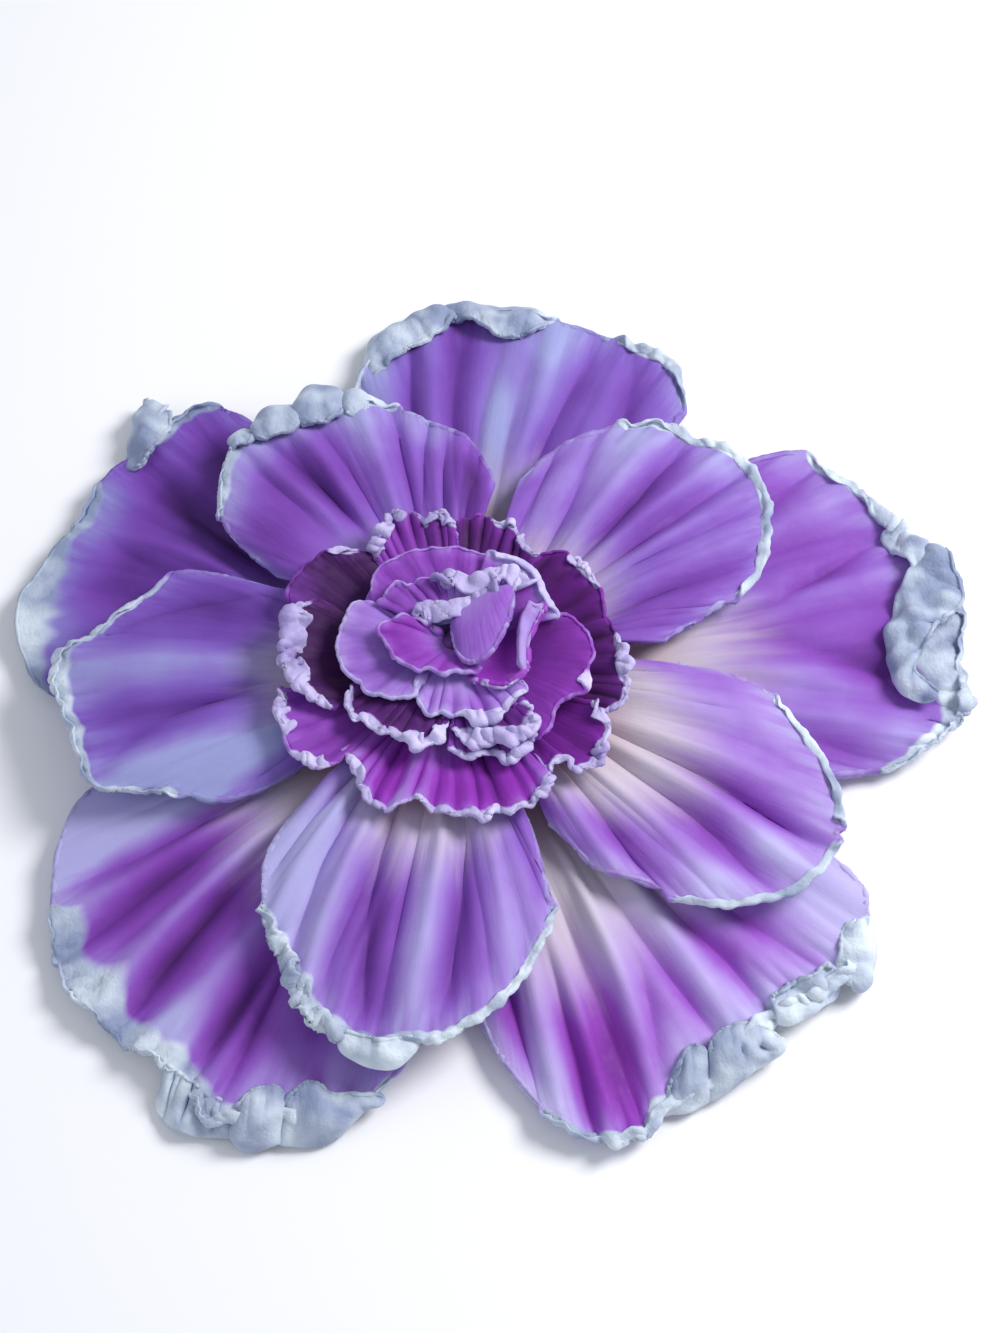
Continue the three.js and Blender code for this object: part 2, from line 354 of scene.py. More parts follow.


# ---- Petals ----------------------------------------------------------------------------------------

# Each petal is a fan. azimuth is where it points, counter-clockwise from +X, and angles in the fan are
# counted from there. fan holds the angles of its right-hand and left-hand edge. reach is how far the rim
# lies from the claw at equal angles between those two, and sides how much they stand above its middle.
# folds are [angle near the claw, angle at the rim, half width, depth, first share out, last share out],
# with a valley's depth above zero and a crest's below. tuck draws the rim in beneath a roll, at [angle,
# half width, amount]. deep and pale are brushed-on washes that darken and lighten the dye, at [angle,
# share out, half width, half length, amount]; some deep washes are painted shade and some pale washes
# painted highlights. cream is how far out the cream claw reaches, depth how strong the dye is, contrast
# how much darker the folds' hollows are, which is partly dye gathered there and partly painted shade,
# blue and magenta how far its hue shifts, blue also darkening it, which on the left-hand petals is
# painted shade, and grey how much painted shade the bare rim gets in its mottles and creases. soft blurs
# the rim's inner border. rim is read by rim_along, at fan angles.
PETALS = [
    # Its strongest pale wash, near its middle, is a painted highlight.
    {
        "name": "outer_petal_top", "azimuth": 79, "fan": [-38, 44], "sides": [0.6, 0.2],
        "heights": OUTER_HEIGHTS, "reach": [27, 43.5, 52, 52.8, 53.6, 54.4, 54.3, 53.2, 49, 38, 25],
        "folds": [
            [24, 21, 2.6, 1.5, 0.5, 0.93], [15, 11.5, 3.6, 1.7, 0.45, 1], [8, 5, 1.4, 0.5, 0.6, 0.92],
            [-7, -9.5, 2.4, 1.2, 0.5, 0.95], [-23, -16, 2.8, 1.3, 0.6, 0.96], [-2, -4, 2.6, -0.9, 0.5, 1],
            [29, 28, 3, -0.7, 0.5, 0.95], [19, 17.5, 2, -0.7, 0.5, 0.95], [-15, -14, 2, -0.5, 0.6, 0.9],
        ],
        "deep": [[13, 0.8, 4, 0.3, 0.15], [-20, 0.85, 10, 0.15, 0.15], [22, 0.8, 3, 0.2, 0.1]],
        "pale": [[4, 0.62, 4, 0.22, 0.6], [-3, 0.9, 3.5, 0.2, 0.35], [29, 0.85, 5, 0.2, 0.25]],
        "cream": 0.4, "blue": 0.6, "depth": 0.55, "contrast": 0.18, "magenta": 0.2, "grey": 0.42,
        "tuck": [[27, 6, 2.2], [18, 5, 1.2], [2, 8, 1]],
        "rim": [
            [-38, 0, 0.5, -70, 0, 0], [-29, 0, 0.5, -70, 0, 0.1], [-26, 0.7, 0.3, 120, 0.2, 0.25],
            [-22, 1.6, 0.45, 190, 0.8, 0.5], [-14, 1.4, 0.4, 180, 0.8, 0.5], [-11, 0, 0.5, -70, 0, 0.1],
            [-3, 0, 0.3, -70, 0, 0.1], [-1, 0.8, 0.3, 130, 0.3, 0.2], [8, 0.8, 0.3, 130, 0.3, 0.2],
            [10, 0.4, 0.2, 120, 0.1, 0.15], [13, 0.5, 0.2, 120, 0.1, 0.15], [15, 0.9, 0.3, 140, 0.3, 0.2],
            [26, 1.2, 0.4, 170, 0.6, 0.3], [29, 0.5, 0.2, 100, 0.1, 0.15], [44, 0, 0.3, -70, 0, 0],
        ],
    },
    {
        "name": "outer_petal_right", "azimuth": 6.5, "fan": [-34, 46], "sides": [-0.4, 0.8],
        "heights": OUTER_HEIGHTS, "reach": [27, 41, 51.5, 58, 57.8, 59.6, 57.4, 56.2, 54, 51, 33],
        "folds": [
            [29, 33, 2.2, 0.8, 0.7, 0.97], [24, 20, 2.6, 0.8, 0.6, 0.93], [10, 17, 1.8, 1.5, 0.5, 0.92],
            [6, 10, 2.6, 0.8, 0.5, 0.95], [4, -7, 2.4, 1.3, 0.55, 0.9], [-8, -11, 2, 0.7, 0.6, 0.97],
            [-18, -21, 2, 0.6, 0.7, 0.95], [13, 12, 1.8, -0.8, 0.5, 0.85], [-4, -8, 3, -0.8, 0.5, 0.75],
            [-14, -15, 2.5, -0.7, 0.5, 0.95], [26, 27, 2.5, -0.5, 0.6, 0.95],
        ],
        "deep": [
            [0.5, 0.98, 5, 0.05, 0.9], [-1, 0.86, 6, 0.1, 0.5], [14, 0.72, 3, 0.2, 0.2],
            [33, 0.85, 4, 0.1, 0.15],
        ],
        "pale": [[13, 0.55, 5, 0.16, 0.25], [-9, 0.62, 4, 0.15, 0.2]], "cream": 0.46, "blue": 0.3,
        "depth": 0.58, "contrast": 0.24, "magenta": 0.4, "grey": 0.4,
        "rim": [
            [-34, 0, 0.3, -70, 0, 0], [-22, 0, 0.3, -70, 0, 0.1], [-19, 1.4, 0.2, 80, 0.2, 0.5],
            [-14, 2.4, 0.25, 110, 0.4, 0.9], [-9, 4, 0.6, 160, 1, 1], [-6, 7, 0.6, 170, 1, 0.9],
            [-2.5, 9, 0.3, 120, 0.3, 0.6], [3, 9, 0.3, 120, 0.3, 0.6], [7.5, 2.4, 0.8, 180, 1.6, 0.6],
            [10, 1.6, 1.3, 195, 2.8, 0.6], [14, 1.4, 1.2, 195, 2.4, 0.7], [18, 1.2, 1, 190, 1.7, 0.7],
            [21, 1.2, 0.6, 180, 1.2, 0.6], [26, 1, 0.45, 170, 0.7, 0.5], [33, 1.2, 0.3, 140, 0.3, 0.4],
            [37, 0, 0.3, -70, 0, 0.1], [46, 0, 0.3, -70, 0, 0],
        ],
    },
    # Its far-reaching cream and light dye are partly painted light, against the shade of the inner petals.
    {
        "name": "outer_petal_lower_right", "azimuth": -58, "fan": [-40, 42], "sides": [-0.6, 0.4],
        "heights": OUTER_HEIGHTS, "reach": [26, 41, 51.4, 56.8, 56, 56.5, 54.3, 56.4, 55.8, 50, 32],
        "folds": [
            [-28, -25, 2.2, 1.2, 0.6, 0.93], [-17, -18.5, 2, 2, 0.62, 0.99],
            [-11, -11.5, 3, 2.1, 0.5, 0.97], [-2, -7, 1.8, 1.2, 0.7, 0.92], [1, 2, 1.8, 1.2, 0.5, 0.9],
            [9.5, 10, 1.9, 1.4, 0.55, 0.95], [16, 19, 2.2, 1.3, 0.55, 0.95],
            [-15, -16, 1.3, -1.2, 0.65, 0.93], [-4, -9, 1.6, -1.5, 0.4, 0.97], [7, 5, 2, -1, 0.45, 0.9],
            [-22, -22, 2.2, -0.8, 0.6, 0.95], [13.5, 14, 1.8, -0.8, 0.5, 0.9], [30, 30, 5, -0.6, 0.6, 1],
        ],
        "deep": [[-14, 0.86, 7, 0.18, 0.55], [10, 0.76, 9, 0.14, 0.2], [-27, 0.8, 3, 0.12, 0.3]],
        "pale": [
            [31, 0.85, 6, 0.14, 0.55], [6, 0.7, 2.5, 0.2, 0.2], [14, 0.55, 5, 0.16, 0.1],
            [-22, 0.9, 3, 0.14, 0.25],
        ],
        "cream": 0.57, "blue": 0.05, "depth": 0.29, "contrast": 0.17, "magenta": 0.85, "grey": 0.3,
        "tuck": [[25, 6, 1.6], [14.5, 5, 1.8], [3, 7, 2.2], [-7, 4, 1.8]],
        "rim": [
            [-40, 0, 0.5, -70, 0, 0], [-25, 0, 0.5, -70, 0, 0.1], [-23, 0.8, 0.25, 100, 0.3, 0.5],
            [-18, 1.2, 0.3, 120, 0.6, 0.7], [-14, 1.6, 0.4, 150, 1, 0.7], [-11, 2, 0.5, 160, 0.8, 0.6],
            [-7, 1.8, 0.5, 160, 0.6, 0.4], [4, 1.8, 0.5, 160, 0.6, 0.4], [7, 2.4, 0.6, 170, 1.2, 0.7],
            [11, 3, 0.6, 180, 1, 0.9], [17, 2.4, 0.6, 180, 1, 0.9], [22, 2.2, 0.4, 150, 0.6, 0.6],
            [27, 1.4, 0.3, 110, 0.2, 0.4], [30, 0, 0.3, -70, 0, 0.1], [42, 0, 0.5, -70, 0, 0],
        ],
    },
    # Its broad pale wash at the right-hand edge is a painted highlight.
    {
        "name": "outer_petal_lower_left", "azimuth": -124, "fan": [-54, 36], "sides": [0.6, -0.5],
        "heights": OUTER_HEIGHTS, "reach": [27, 42, 47.6, 51.2, 54.2, 54.6, 54.3, 58.2, 56.5, 51.2, 38],
        "folds": [
            [-27, -29, 2.3, 1.4, 0.5, 0.93], [-22, -20, 2.4, 1.6, 0.5, 0.95],
            [-17, -16.5, 1.2, 0.7, 0.7, 0.92], [-12, -7.5, 3, 1.6, 0.55, 0.97], [5, 3, 2, 1.7, 0.65, 0.95],
            [7, 8.5, 1.6, 1.2, 0.6, 0.9], [17, 18, 2.6, 0.7, 0.6, 0.95],
            [-15.5, -12.5, 1.8, -1.4, 0.45, 0.95], [-1, -2.5, 2.8, -1.1, 0.6, 0.97],
            [-25, -25, 1.5, -0.8, 0.5, 0.95], [7, 6, 1.1, -0.9, 0.68, 0.94], [-36, -36, 4, -0.6, 0.5, 0.95],
        ],
        "deep": [[-24, 0.7, 7, 0.2, 0.35], [4, 0.8, 5, 0.16, 0.35], [-9, 0.75, 4, 0.2, 0.3]],
        "pale": [[-37, 0.85, 9, 0.3, 0.85], [-1, 0.9, 3, 0.12, 0.3], [22, 0.85, 6, 0.15, 0.15]],
        "cream": 0.42, "blue": 0.3, "depth": 0.54, "contrast": 0.3, "magenta": 0.45, "grey": 0.5,
        "soft": 0.25, "tuck": [[22, 7, 2.2], [14, 4, 2.2], [6, 4, 1.2]],
        "rim": [
            [-54, 0, 0.3, -70, 0, 0], [-28, 0, 0.3, -70, 0, 0.1], [-25, 4, 0.2, 60, 0, 0.4],
            [-20, 6.6, 0.2, 50, 0, 0.6], [-14, 6.4, 0.2, 60, 0.1, 0.7], [-9, 4.8, 0.2, 80, 0.2, 0.8],
            [-4, 3.4, 0.2, 90, 0.2, 0.8], [1, 4, 0.25, 100, 0.3, 0.8], [9, 3, 0.3, 120, 0.5, 0.8],
            [11.5, 1.6, 0.5, 160, 0.6, 0.4], [24, 1.4, 0.5, 160, 0.6, 0.3], [28, 0.7, 0.2, 100, 0.2, 0.2],
            [36, 0, 0.3, -70, 0, 0],
        ],
    },
    # It lies in shade: its deep, blue dye, its deep washes and its grey rim are painted shade.
    {
        "name": "outer_petal_left", "azimuth": 157, "fan": [-46, 36], "sides": [0.8, 0],
        "heights": OUTER_HEIGHTS, "reach": [26, 45, 51.5, 51, 50.2, 49, 50.3, 51.5, 49.5, 44.5, 27],
        "folds": [
            [-7, -5, 2, -1, 0.45, 0.97], [0, -4, 2.4, 0.9, 0.6, 0.9], [-13, -18, 3.2, 1.4, 0.4, 0.9],
            [-30, -29, 3, 1.4, 0.6, 0.9], [-24, -22, 3, -0.8, 0.6, 0.95], [6, 7, 3, 0.8, 0.6, 0.9],
            [14, 14, 4, -0.6, 0.6, 0.97],
        ],
        "deep": [[-20, 0.72, 10, 0.2, 0.25], [2, 0.78, 9, 0.12, 0.25]],
        "pale": [[10, 1, 16, 0.2, 0.47], [-9, 0.96, 5, 0.1, 0.4], [-38, 0.9, 4, 0.12, 0.15]], "cream": 0.25,
        "blue": 0.7, "depth": 0.78, "contrast": 0.22, "magenta": 0.25, "grey": 0.75, "soft": 0.42,
        "tuck": [[-24, 6, 1.6]],
        "rim": [
            [-46, 0, 0.5, -70, 0, 0], [-36, 0, 0.5, -70, 0, 0.1], [-33, 1.2, 0.3, 110, 0.2, 0.2],
            [-30, 1.4, 0.3, 140, 0.4, 0.35], [-24, 1.4, 0.3, 140, 0.4, 0.4], [-21, 1, 0.2, 100, 0.1, 0.25],
            [-18, 0, 0.3, -70, 0, 0.1], [-13, 0, 0.3, -70, 0, 0.1], [-10, 1.4, 0.2, 80, 0.1, 0.25],
            [-5, 1.6, 0.2, 70, 0, 0.2], [-2, 1.6, 0.3, -70, 0, 0.1], [2, 3, 0.3, -70, 0, 0.1],
            [8, 6, 0.3, -70, 0, 0.1], [16, 6.4, 0.3, -70, 0, 0.1], [22, 3, 0.3, -70, 0, 0.1],
            [28, 0, 0.3, -70, 0, 0], [36, 0, 0.3, -70, 0, 0],
        ],
    },
    # Its deep wash at the right-hand edge paints the shade on the flap folded down there.
    {
        "name": "inner_petal_upper_left", "azimuth": 113, "fan": [-44, 48], "sides": [0.4, 0.2],
        "heights": INNER_HEIGHTS, "reach": [23, 28, 31, 33.6, 37, 40, 39.8, 39, 35.3, 31, 21],
        "folds": [
            [22, 22, 2.2, 0.8, 0.6, 0.9], [10, 15, 3.2, 1.7, 0.45, 0.93], [2, 4.5, 2, 1, 0.4, 0.9],
            [-12, -13.5, 2.2, 1.3, 0.4, 0.97], [-16, -21, 2, 1.1, 0.5, 0.97],
            [-24, -26, 1.8, 0.8, 0.5, 0.9], [-5, -6, 2.6, -0.9, 0.4, 0.95], [7, 9, 1.8, -0.8, 0.5, 0.9],
            [18, 19, 2, -0.6, 0.5, 0.9], [-29, -30, 2.2, -0.8, 0.4, 0.97], [31, 31, 4, -0.6, 0.5, 0.95],
        ],
        "deep": [[34, 0.7, 14, 0.25, 0.35], [11, 0.65, 6, 0.2, 0.3], [-35, 0.78, 8, 0.35, 0.65]],
        "pale": [
            [-4, 0.85, 5, 0.15, 0.3], [24, 0.93, 12, 0.12, 0.4], [-20, 0.92, 8, 0.12, 0.25],
            [4, 0.98, 8, 0.1, 0.25],
        ],
        "cream": 0.25, "blue": 0.45, "depth": 0.58, "contrast": 0.18, "magenta": 0.25, "grey": 0.4,
        "soft": 0.25, "tuck": [[6, 14, 1.7]],
        "rim": [
            [-44, 0, 0.5, -70, 0, 0], [-16, 0, 0.5, -70, 0, 0.1], [-12, 0.9, 0.35, 140, 0.3, 0.3],
            [-8, 1.2, 0.4, 170, 0.5, 0.3], [11, 1.2, 0.4, 170, 0.5, 0.35], [14, 1.3, 0.4, 180, 0.7, 0.4],
            [19, 1.1, 0.3, 160, 0.4, 0.4], [22, 1.8, 0.15, 130, 0.2, 0.4], [33, 1.6, 0.15, 120, 0.2, 0.35],
            [36, 0.9, 0.3, 160, 0.3, 0.25], [38, 0, 0.3, -70, 0, 0.05], [48, 0, 0.3, -70, 0, 0],
        ],
    },
    {
        "name": "inner_petal_upper_right", "azimuth": 42, "fan": [-46, 42], "sides": [0.2, 0.6],
        "heights": INNER_HEIGHTS, "reach": [21.5, 26, 33.8, 38, 41.2, 42.6, 40.4, 38.8, 35.3, 30, 23.6],
        "folds": [
            [17, 23.5, 2.6, 1, 0.3, 0.85], [3.5, 7.5, 2.4, 1.9, 0.3, 0.94], [-6, -5, 2, 1.3, 0.35, 0.95],
            [-12, -12, 1.6, 0.9, 0.5, 0.97], [-28, -22.5, 2.4, 1.3, 0.3, 0.93], [34, 33, 3, 0.8, 0.5, 0.9],
            [-1, 0.5, 1.6, -0.8, 0.4, 0.93], [-9, -8.5, 1.5, -0.7, 0.5, 0.95], [11, 14, 2.6, -1, 0.4, 0.95],
            [-19, -17, 3, -0.7, 0.4, 0.95],
        ],
        "deep": [[5, 0.65, 4, 0.2, 0.25], [-27, 0.7, 8, 0.3, 0.22], [-4, 0.6, 3, 0.2, 0.2]],
        "pale": [[17, 0.85, 7, 0.2, 0.42], [-1, 0.92, 4, 0.08, 0.2], [28, 0.6, 6, 0.3, 0.2]], "cream": 0.32,
        "blue": 0.4, "depth": 0.57, "contrast": 0.18, "magenta": 0.25, "grey": 0.4,
        "rim": [
            [-46, 0, 0.5, -70, 0, 0], [-33, 0, 0.5, -70, 0, 0.05], [-30, 0.7, 0.3, 160, 0.3, 0.2],
            [-24, 0.9, 0.4, 210, 0.5, 0.3], [-6, 1, 0.42, 220, 0.6, 0.35], [2, 1.2, 0.4, 210, 0.5, 0.4],
            [10, 1.2, 0.4, 190, 0.4, 0.45], [14, 1.4, 0.4, 190, 0.6, 0.5], [19, 1.2, 0.35, 170, 0.4, 0.45],
            [23, 0, 0.5, -70, 0, 0.1], [42, 0, 0.5, -70, 0, 0],
        ],
    },
    {
        "name": "inner_petal_lower_right", "azimuth": -27, "fan": [-48, 38], "sides": [-0.4, 0.2],
        "heights": INNER_HEIGHTS, "reach": [19, 27, 32, 39, 43.4, 45.4, 44.6, 40.8, 36, 31.5, 22],
        "folds": [
            [1.5, -2.5, 2, 1.6, 0.3, 0.94], [-8, -13.5, 2.2, 1.4, 0.3, 0.95],
            [-26, -30, 2.4, 1.3, 0.3, 0.92], [12, 11, 2.4, 0.6, 0.5, 0.9], [-18, -21, 2.6, -0.9, 0.3, 0.95],
            [-4, -8, 2.2, -0.9, 0.35, 0.95], [6, 5, 2.4, -0.7, 0.4, 0.95], [20, 20, 4, -0.6, 0.4, 0.9],
            [-36, -36, 3, -0.7, 0.4, 0.95],
        ],
        "deep": [[0, 0.6, 4, 0.25, 0.15], [-12, 0.75, 4, 0.2, 0.15], [-29, 0.7, 4, 0.25, 0.2]],
        "pale": [[14, 0.7, 9, 0.2, 0.18], [-8, 0.88, 3, 0.12, 0.3], [-20, 0.9, 5, 0.12, 0.3]],
        "cream": 0.53, "blue": 0.15, "depth": 0.5, "contrast": 0.18, "magenta": 0.4, "grey": 0.4,
        "rim": [
            [-48, 0, 0.5, -70, 0, 0], [-29, 0, 0.5, -70, 0, 0.1], [-26, 0.8, 0.25, 170, 0.3, 0.25],
            [-2, 0.7, 0.25, 180, 0.3, 0.25], [1, 0, 0.5, -70, 0, 0.1], [4, 0.8, 0.4, 180, 0.5, 0.4],
            [6.5, 1, 0.5, 200, 0.5, 0.4], [9, 0.8, 0.28, 180, 0.3, 0.25], [24, 0.7, 0.25, 170, 0.2, 0.25],
            [27, 0, 0.5, -70, 0, 0.05], [38, 0, 0.5, -70, 0, 0],
        ],
    },
    {
        "name": "inner_petal_bottom", "azimuth": -98, "fan": [-50, 44], "sides": [0.8, 0.4],
        "heights": INNER_HEIGHTS, "reach": [18.8, 28.6, 34.2, 38.5, 43.6, 45.4, 43.2, 39.8, 35, 29, 17.3],
        "folds": [
            [-40, -36, 1.8, 0.9, 0.4, 0.95], [-31, -22, 2.4, 1.2, 0.4, 0.93], [-15, -14, 1.8, 1, 0.4, 0.9],
            [-15, -5, 3, 2, 0.3, 0.95], [-3, -2, 1.6, 0.8, 0.4, 0.92], [15, 7, 3.2, 1.9, 0.4, 0.93],
            [32, 34, 2.4, 0.8, 0.4, 0.9], [6, 2, 2.6, -1.2, 0.25, 0.95], [-22, -17, 2.2, -1, 0.4, 0.95],
            [-35, -29, 2, -0.8, 0.4, 0.95], [24, 20, 3, -0.8, 0.4, 0.95], [-9, -9.5, 1.2, -0.7, 0.6, 0.93],
        ],
        "deep": [[-7, 0.7, 5, 0.22, 0.4], [12, 0.75, 6, 0.2, 0.12], [-15, 0.7, 2, 0.2, 0.1]],
        "pale": [[-34, 0.8, 12, 0.34, 0.8], [3, 0.7, 4, 0.2, 0.25], [25, 0.75, 6, 0.25, 0.3]], "cream": 0.4,
        "blue": 0.3, "knob": 0.9, "depth": 0.5, "contrast": 0.2, "magenta": 0.2, "grey": 0.35,
        "tuck": [[-2, 7, 1.6]],
        "rim": [
            [-50, 0, 0.3, -70, 0, 0], [-33, 0, 0.3, -70, 0, 0.1], [-30, 1.6, 0.2, 140, 0.6, 0.5],
            [-24, 2.6, 0.25, 165, 1.5, 0.7], [-16, 3, 0.25, 165, 1.7, 0.75], [-9, 2.4, 0.3, 170, 1.4, 0.7],
            [-6, 1.2, 0.4, 150, 0.4, 0.3], [0, 1, 0.4, 150, 0.4, 0.25], [3, 1.2, 0.3, 140, 0.3, 0.3],
            [10, 1.3, 0.3, 140, 0.3, 0.35], [14, 0.8, 0.3, 190, 0.4, 0.3], [33, 0.9, 0.25, 180, 0.4, 0.3],
            [36, 0, 0.5, -70, 0, 0.1], [44, 0, 0.5, -70, 0, 0],
        ],
    },
    # Its blue dye and deep washes paint the shade that lies on it.
    {
        "name": "inner_petal_left", "azimuth": 183, "fan": [-40, 47], "sides": [0.6, -0.2],
        "heights": INNER_HEIGHTS, "reach": [20.5, 31, 33.8, 38, 43.2, 42.4, 41, 40, 32, 28, 18.5],
        "folds": [
            [-32, -12, 3, 0.7, 0.6, 0.95], [8, 7.5, 2.6, 0.6, 0.5, 0.93], [4, 17, 2.4, 1.1, 0.4, 0.96],
            [-3, -3, 3.4, -0.8, 0.4, 0.95], [26, 26, 5, -0.7, 0.4, 0.95], [12, 12, 2, -0.6, 0.6, 0.95],
        ],
        "deep": [[10, 0.75, 6, 0.25, 0.3], [-21, 0.72, 9, 0.3, 0.42]],
        "pale": [[27, 0.75, 9, 0.3, 1], [-3, 0.7, 6, 0.3, 0.32]], "cream": 0.33, "blue": 0.6, "depth": 0.58,
        "contrast": 0.18, "magenta": 0.1, "grey": 0.4, "soft": 0.2,
        "rim": [
            [-40, 0, 0.3, -70, 0, 0], [-30, 0, 0.3, -70, 0, 0.1], [-27, 0.4, 0.15, 120, 0.1, 0.2],
            [-21, 0.4, 0.15, 130, 0.1, 0.25], [-18, 1.1, 0.3, 170, 0.3, 0.4],
            [-15, 0.5, 0.15, 120, 0.1, 0.25], [-11, 1.6, 0.35, 160, 0.4, 0.5], [-6, 2, 0.35, 150, 0.5, 0.6],
            [0, 2.2, 0.3, 130, 0.4, 0.6], [10, 2, 0.3, 130, 0.4, 0.5], [13, 0.8, 0.15, 90, 0.1, 0.3],
            [20, 0.7, 0.15, 110, 0.1, 0.3], [28, 0.9, 0.15, 120, 0.1, 0.35], [32, 0, 0.3, -70, 0, 0.1],
            [47, 0, 0.3, -70, 0, 0],
        ],
    },
]


def fold_height(folds, angle, share, creases, seed):
    """How far the folds, and as many small creases as asked for, lift a petal at each angle and share out."""
    random = np.random.default_rng(seed)
    low, high = angle.min() + 4, angle.max() - 4
    for _ in range(creases):
        place = random.uniform(low, high)
        first = random.uniform(0.25, 0.6)
        half_width = random.uniform(0.9, 1.8)
        rim_place = place + random.uniform(-3, 3)
        depth = random.uniform(0.1, 0.3)
        folds = folds + [[place, rim_place, half_width, depth, first, 1.0]]
    height = np.zeros(angle.shape)
    for number, (claw_angle, rim_angle, half_width, depth, first, last) in enumerate(folds):
        way = np.clip((share - first) / max(last - first, 0.01), 0, 1)
        straying = 0.8 * wander(share * 10, 2.5, seed + number)
        middle = claw_angle + (rim_angle - claw_angle) * way + straying
        off = np.abs(angle - middle) / half_width
        ending = 1 - 0.75 * eased(share, last - 0.08, last + 0.08)
        window = eased(share, first - 0.15, first + 0.12) * ending
        height -= depth * 0.8 * window * np.exp(-off**1.6)
    return height


def rim_columns(reach, fan):
    """Fan angles at equal steps along the rim, closer together at its ends, with distances and the length."""
    angles = np.linspace(fan[0], fan[1], FINE_STEPS)
    lengths = along(reach, (angles - fan[0]) / (fan[1] - fan[0]))
    x = lengths * np.cos(np.radians(angles))
    y = lengths * np.sin(np.radians(angles))
    distance = distances(np.hypot(np.diff(x), np.diff(y)))
    placed = spaced(distance[-1], PETAL_STEP, SHEET)
    return np.interp(placed, distance, angles), placed, distance[-1]


def make_petal(petal, seed):
    fan, reach = petal["fan"], petal["reach"]
    angles, distance, length = rim_columns(reach, fan)
    share_across = (angles - fan[0]) / (fan[1] - fan[0])
    from_middle = 2 * share_across - 1
    rim = rim_along(petal["rim"], angles, distance, petal.get("knob", PETAL_KNOB), SHEET, seed)

    lengths = along(reach, share_across)
    lengths = lengths + (0.12 + 0.5 * rim["crumple"]) * wander(distance, 3.4, seed + 5)
    for middle_angle, half_width, amount in petal.get("tuck", []):
        lengths = lengths - amount * np.exp(-(((angles - middle_angle) / half_width) ** 4))
    radians = np.radians(angles)
    ends = np.stack([CLAW_RADIUS + lengths * np.cos(radians), lengths * np.sin(radians)], -1)
    tangent = unit(averaged(differences(ends, 0), 8))
    square_out = np.stack([tangent[:, 1], -tangent[:, 0]], -1)
    ends = ends - square_out * overhang(rim)[:, None]
    starts = np.stack([np.full(len(angles), CLAW_RADIUS), CLAW_HALF_WIDTH * from_middle], -1)

    share = rows_out(PETAL_ROWS, 1.25)
    plan = starts[:, None] + (ends - starts)[:, None] * share[None, :, None]
    angle_grid, share_grid = grid(angles, share)
    lift = np.where(from_middle < 0, petal["sides"][0], petal["sides"][1]) * from_middle**2
    folds = fold_height(petal["folds"], angle_grid, share_grid, PETAL_CREASES, seed)
    sway = 0.5 * eased(share_grid, 0.3, 1) * lumps(np.dstack([plan, 0 * share_grid]), 15, seed + 8)
    pinches = 0.7 * rim["crumple"] * wander(distance, PETAL_KNOB, seed + 12)
    ruffle = eased(share_grid, 0.8, 1) * (0.7 * wander(distance, 5.5, seed + 9) + pinches)[:, None]
    height = along(petal["heights"], share_grid) + lift[:, None] * share_grid + folds + sway + ruffle

    middle, beyond, axes = roll_rim(np.dstack([plan, height]), rim)
    middle = crumple(middle, beyond, distance, rim, axes, seed + 10)
    cosine = math.cos(math.radians(petal["azimuth"]))
    sine = math.sin(math.radians(petal["azimuth"]))
    middle = middle @ np.array([[cosine, sine, 0], [-sine, cosine, 0], [0, 0, 1]])
    side_gap = gap_to_side(distance, length, share_grid, beyond.shape[1])
    paint = painted(rim, beyond, share_grid, 0.8 * angle_grid, folds, petal, angle_grid)
    made = sheet_object(petal["name"] + "_sheet", middle, beyond, rim, side_gap, seed, paint)
    belongs(made, petal["name"])
    return made


# ---- Rosette ---------------------------------------------------------------------------------------

# How a lobe's edge is made at a point, as rim_along reads it: [band, roll, turn, flap, crumple].
BARE = [0, 0.15, -60, 0, 0.1]
THIN = [0.3, 0.1, 110, 0, 0.2]
FRILL = [0.8, 0.22, 170, 0.2, 0.6]
KNOB = [1.1, 0.38, 190, 0.9, 0.7]
CORD = [1.2, 0.36, 190, 1.2, 0.55]
FLAP = [1.6, 0.9, 200, 2.4, 0.3]
CRUST = [2.2, 0.45, 180, 1.2, 0.7]
ROPE = [1.8, 0.5, 185, 2.1, 0.6]
CREST = [2.4, 0.22, 165, 2, 0.45]
TUCK = [0.5, 0.4, 200, 0.9, 0.2]
LEDGE = [0.38, 0.35, 150, 0.3, 0.1]
HEM = [0.1, 0.25, -120, 0.1, 0.05]
PALE_HEM = [0.4, 0.25, -120, 0.1, 0.1]
LIP = [0, 0.7, -150, 0.6, 0.05]
BROAD = [0, 1.2, -130, 1.2, 0.05]

# A lobe's rise from foot to edge, as shares of its height at equal steps.
COLLAR_CUP = [0, 0.1, 0.32, 0.68, 1]
FLOUNCE_CUP = [0, 0.35, 0.75, 1, 1]
HEART_CUP = [0, 0.3, 0.62, 0.88, 1]
LIP_CUP = [0, 0.05, 0.2, 0.5, 1]
STRAIGHT_CUP = [0, 0.25, 0.5, 0.75, 1]
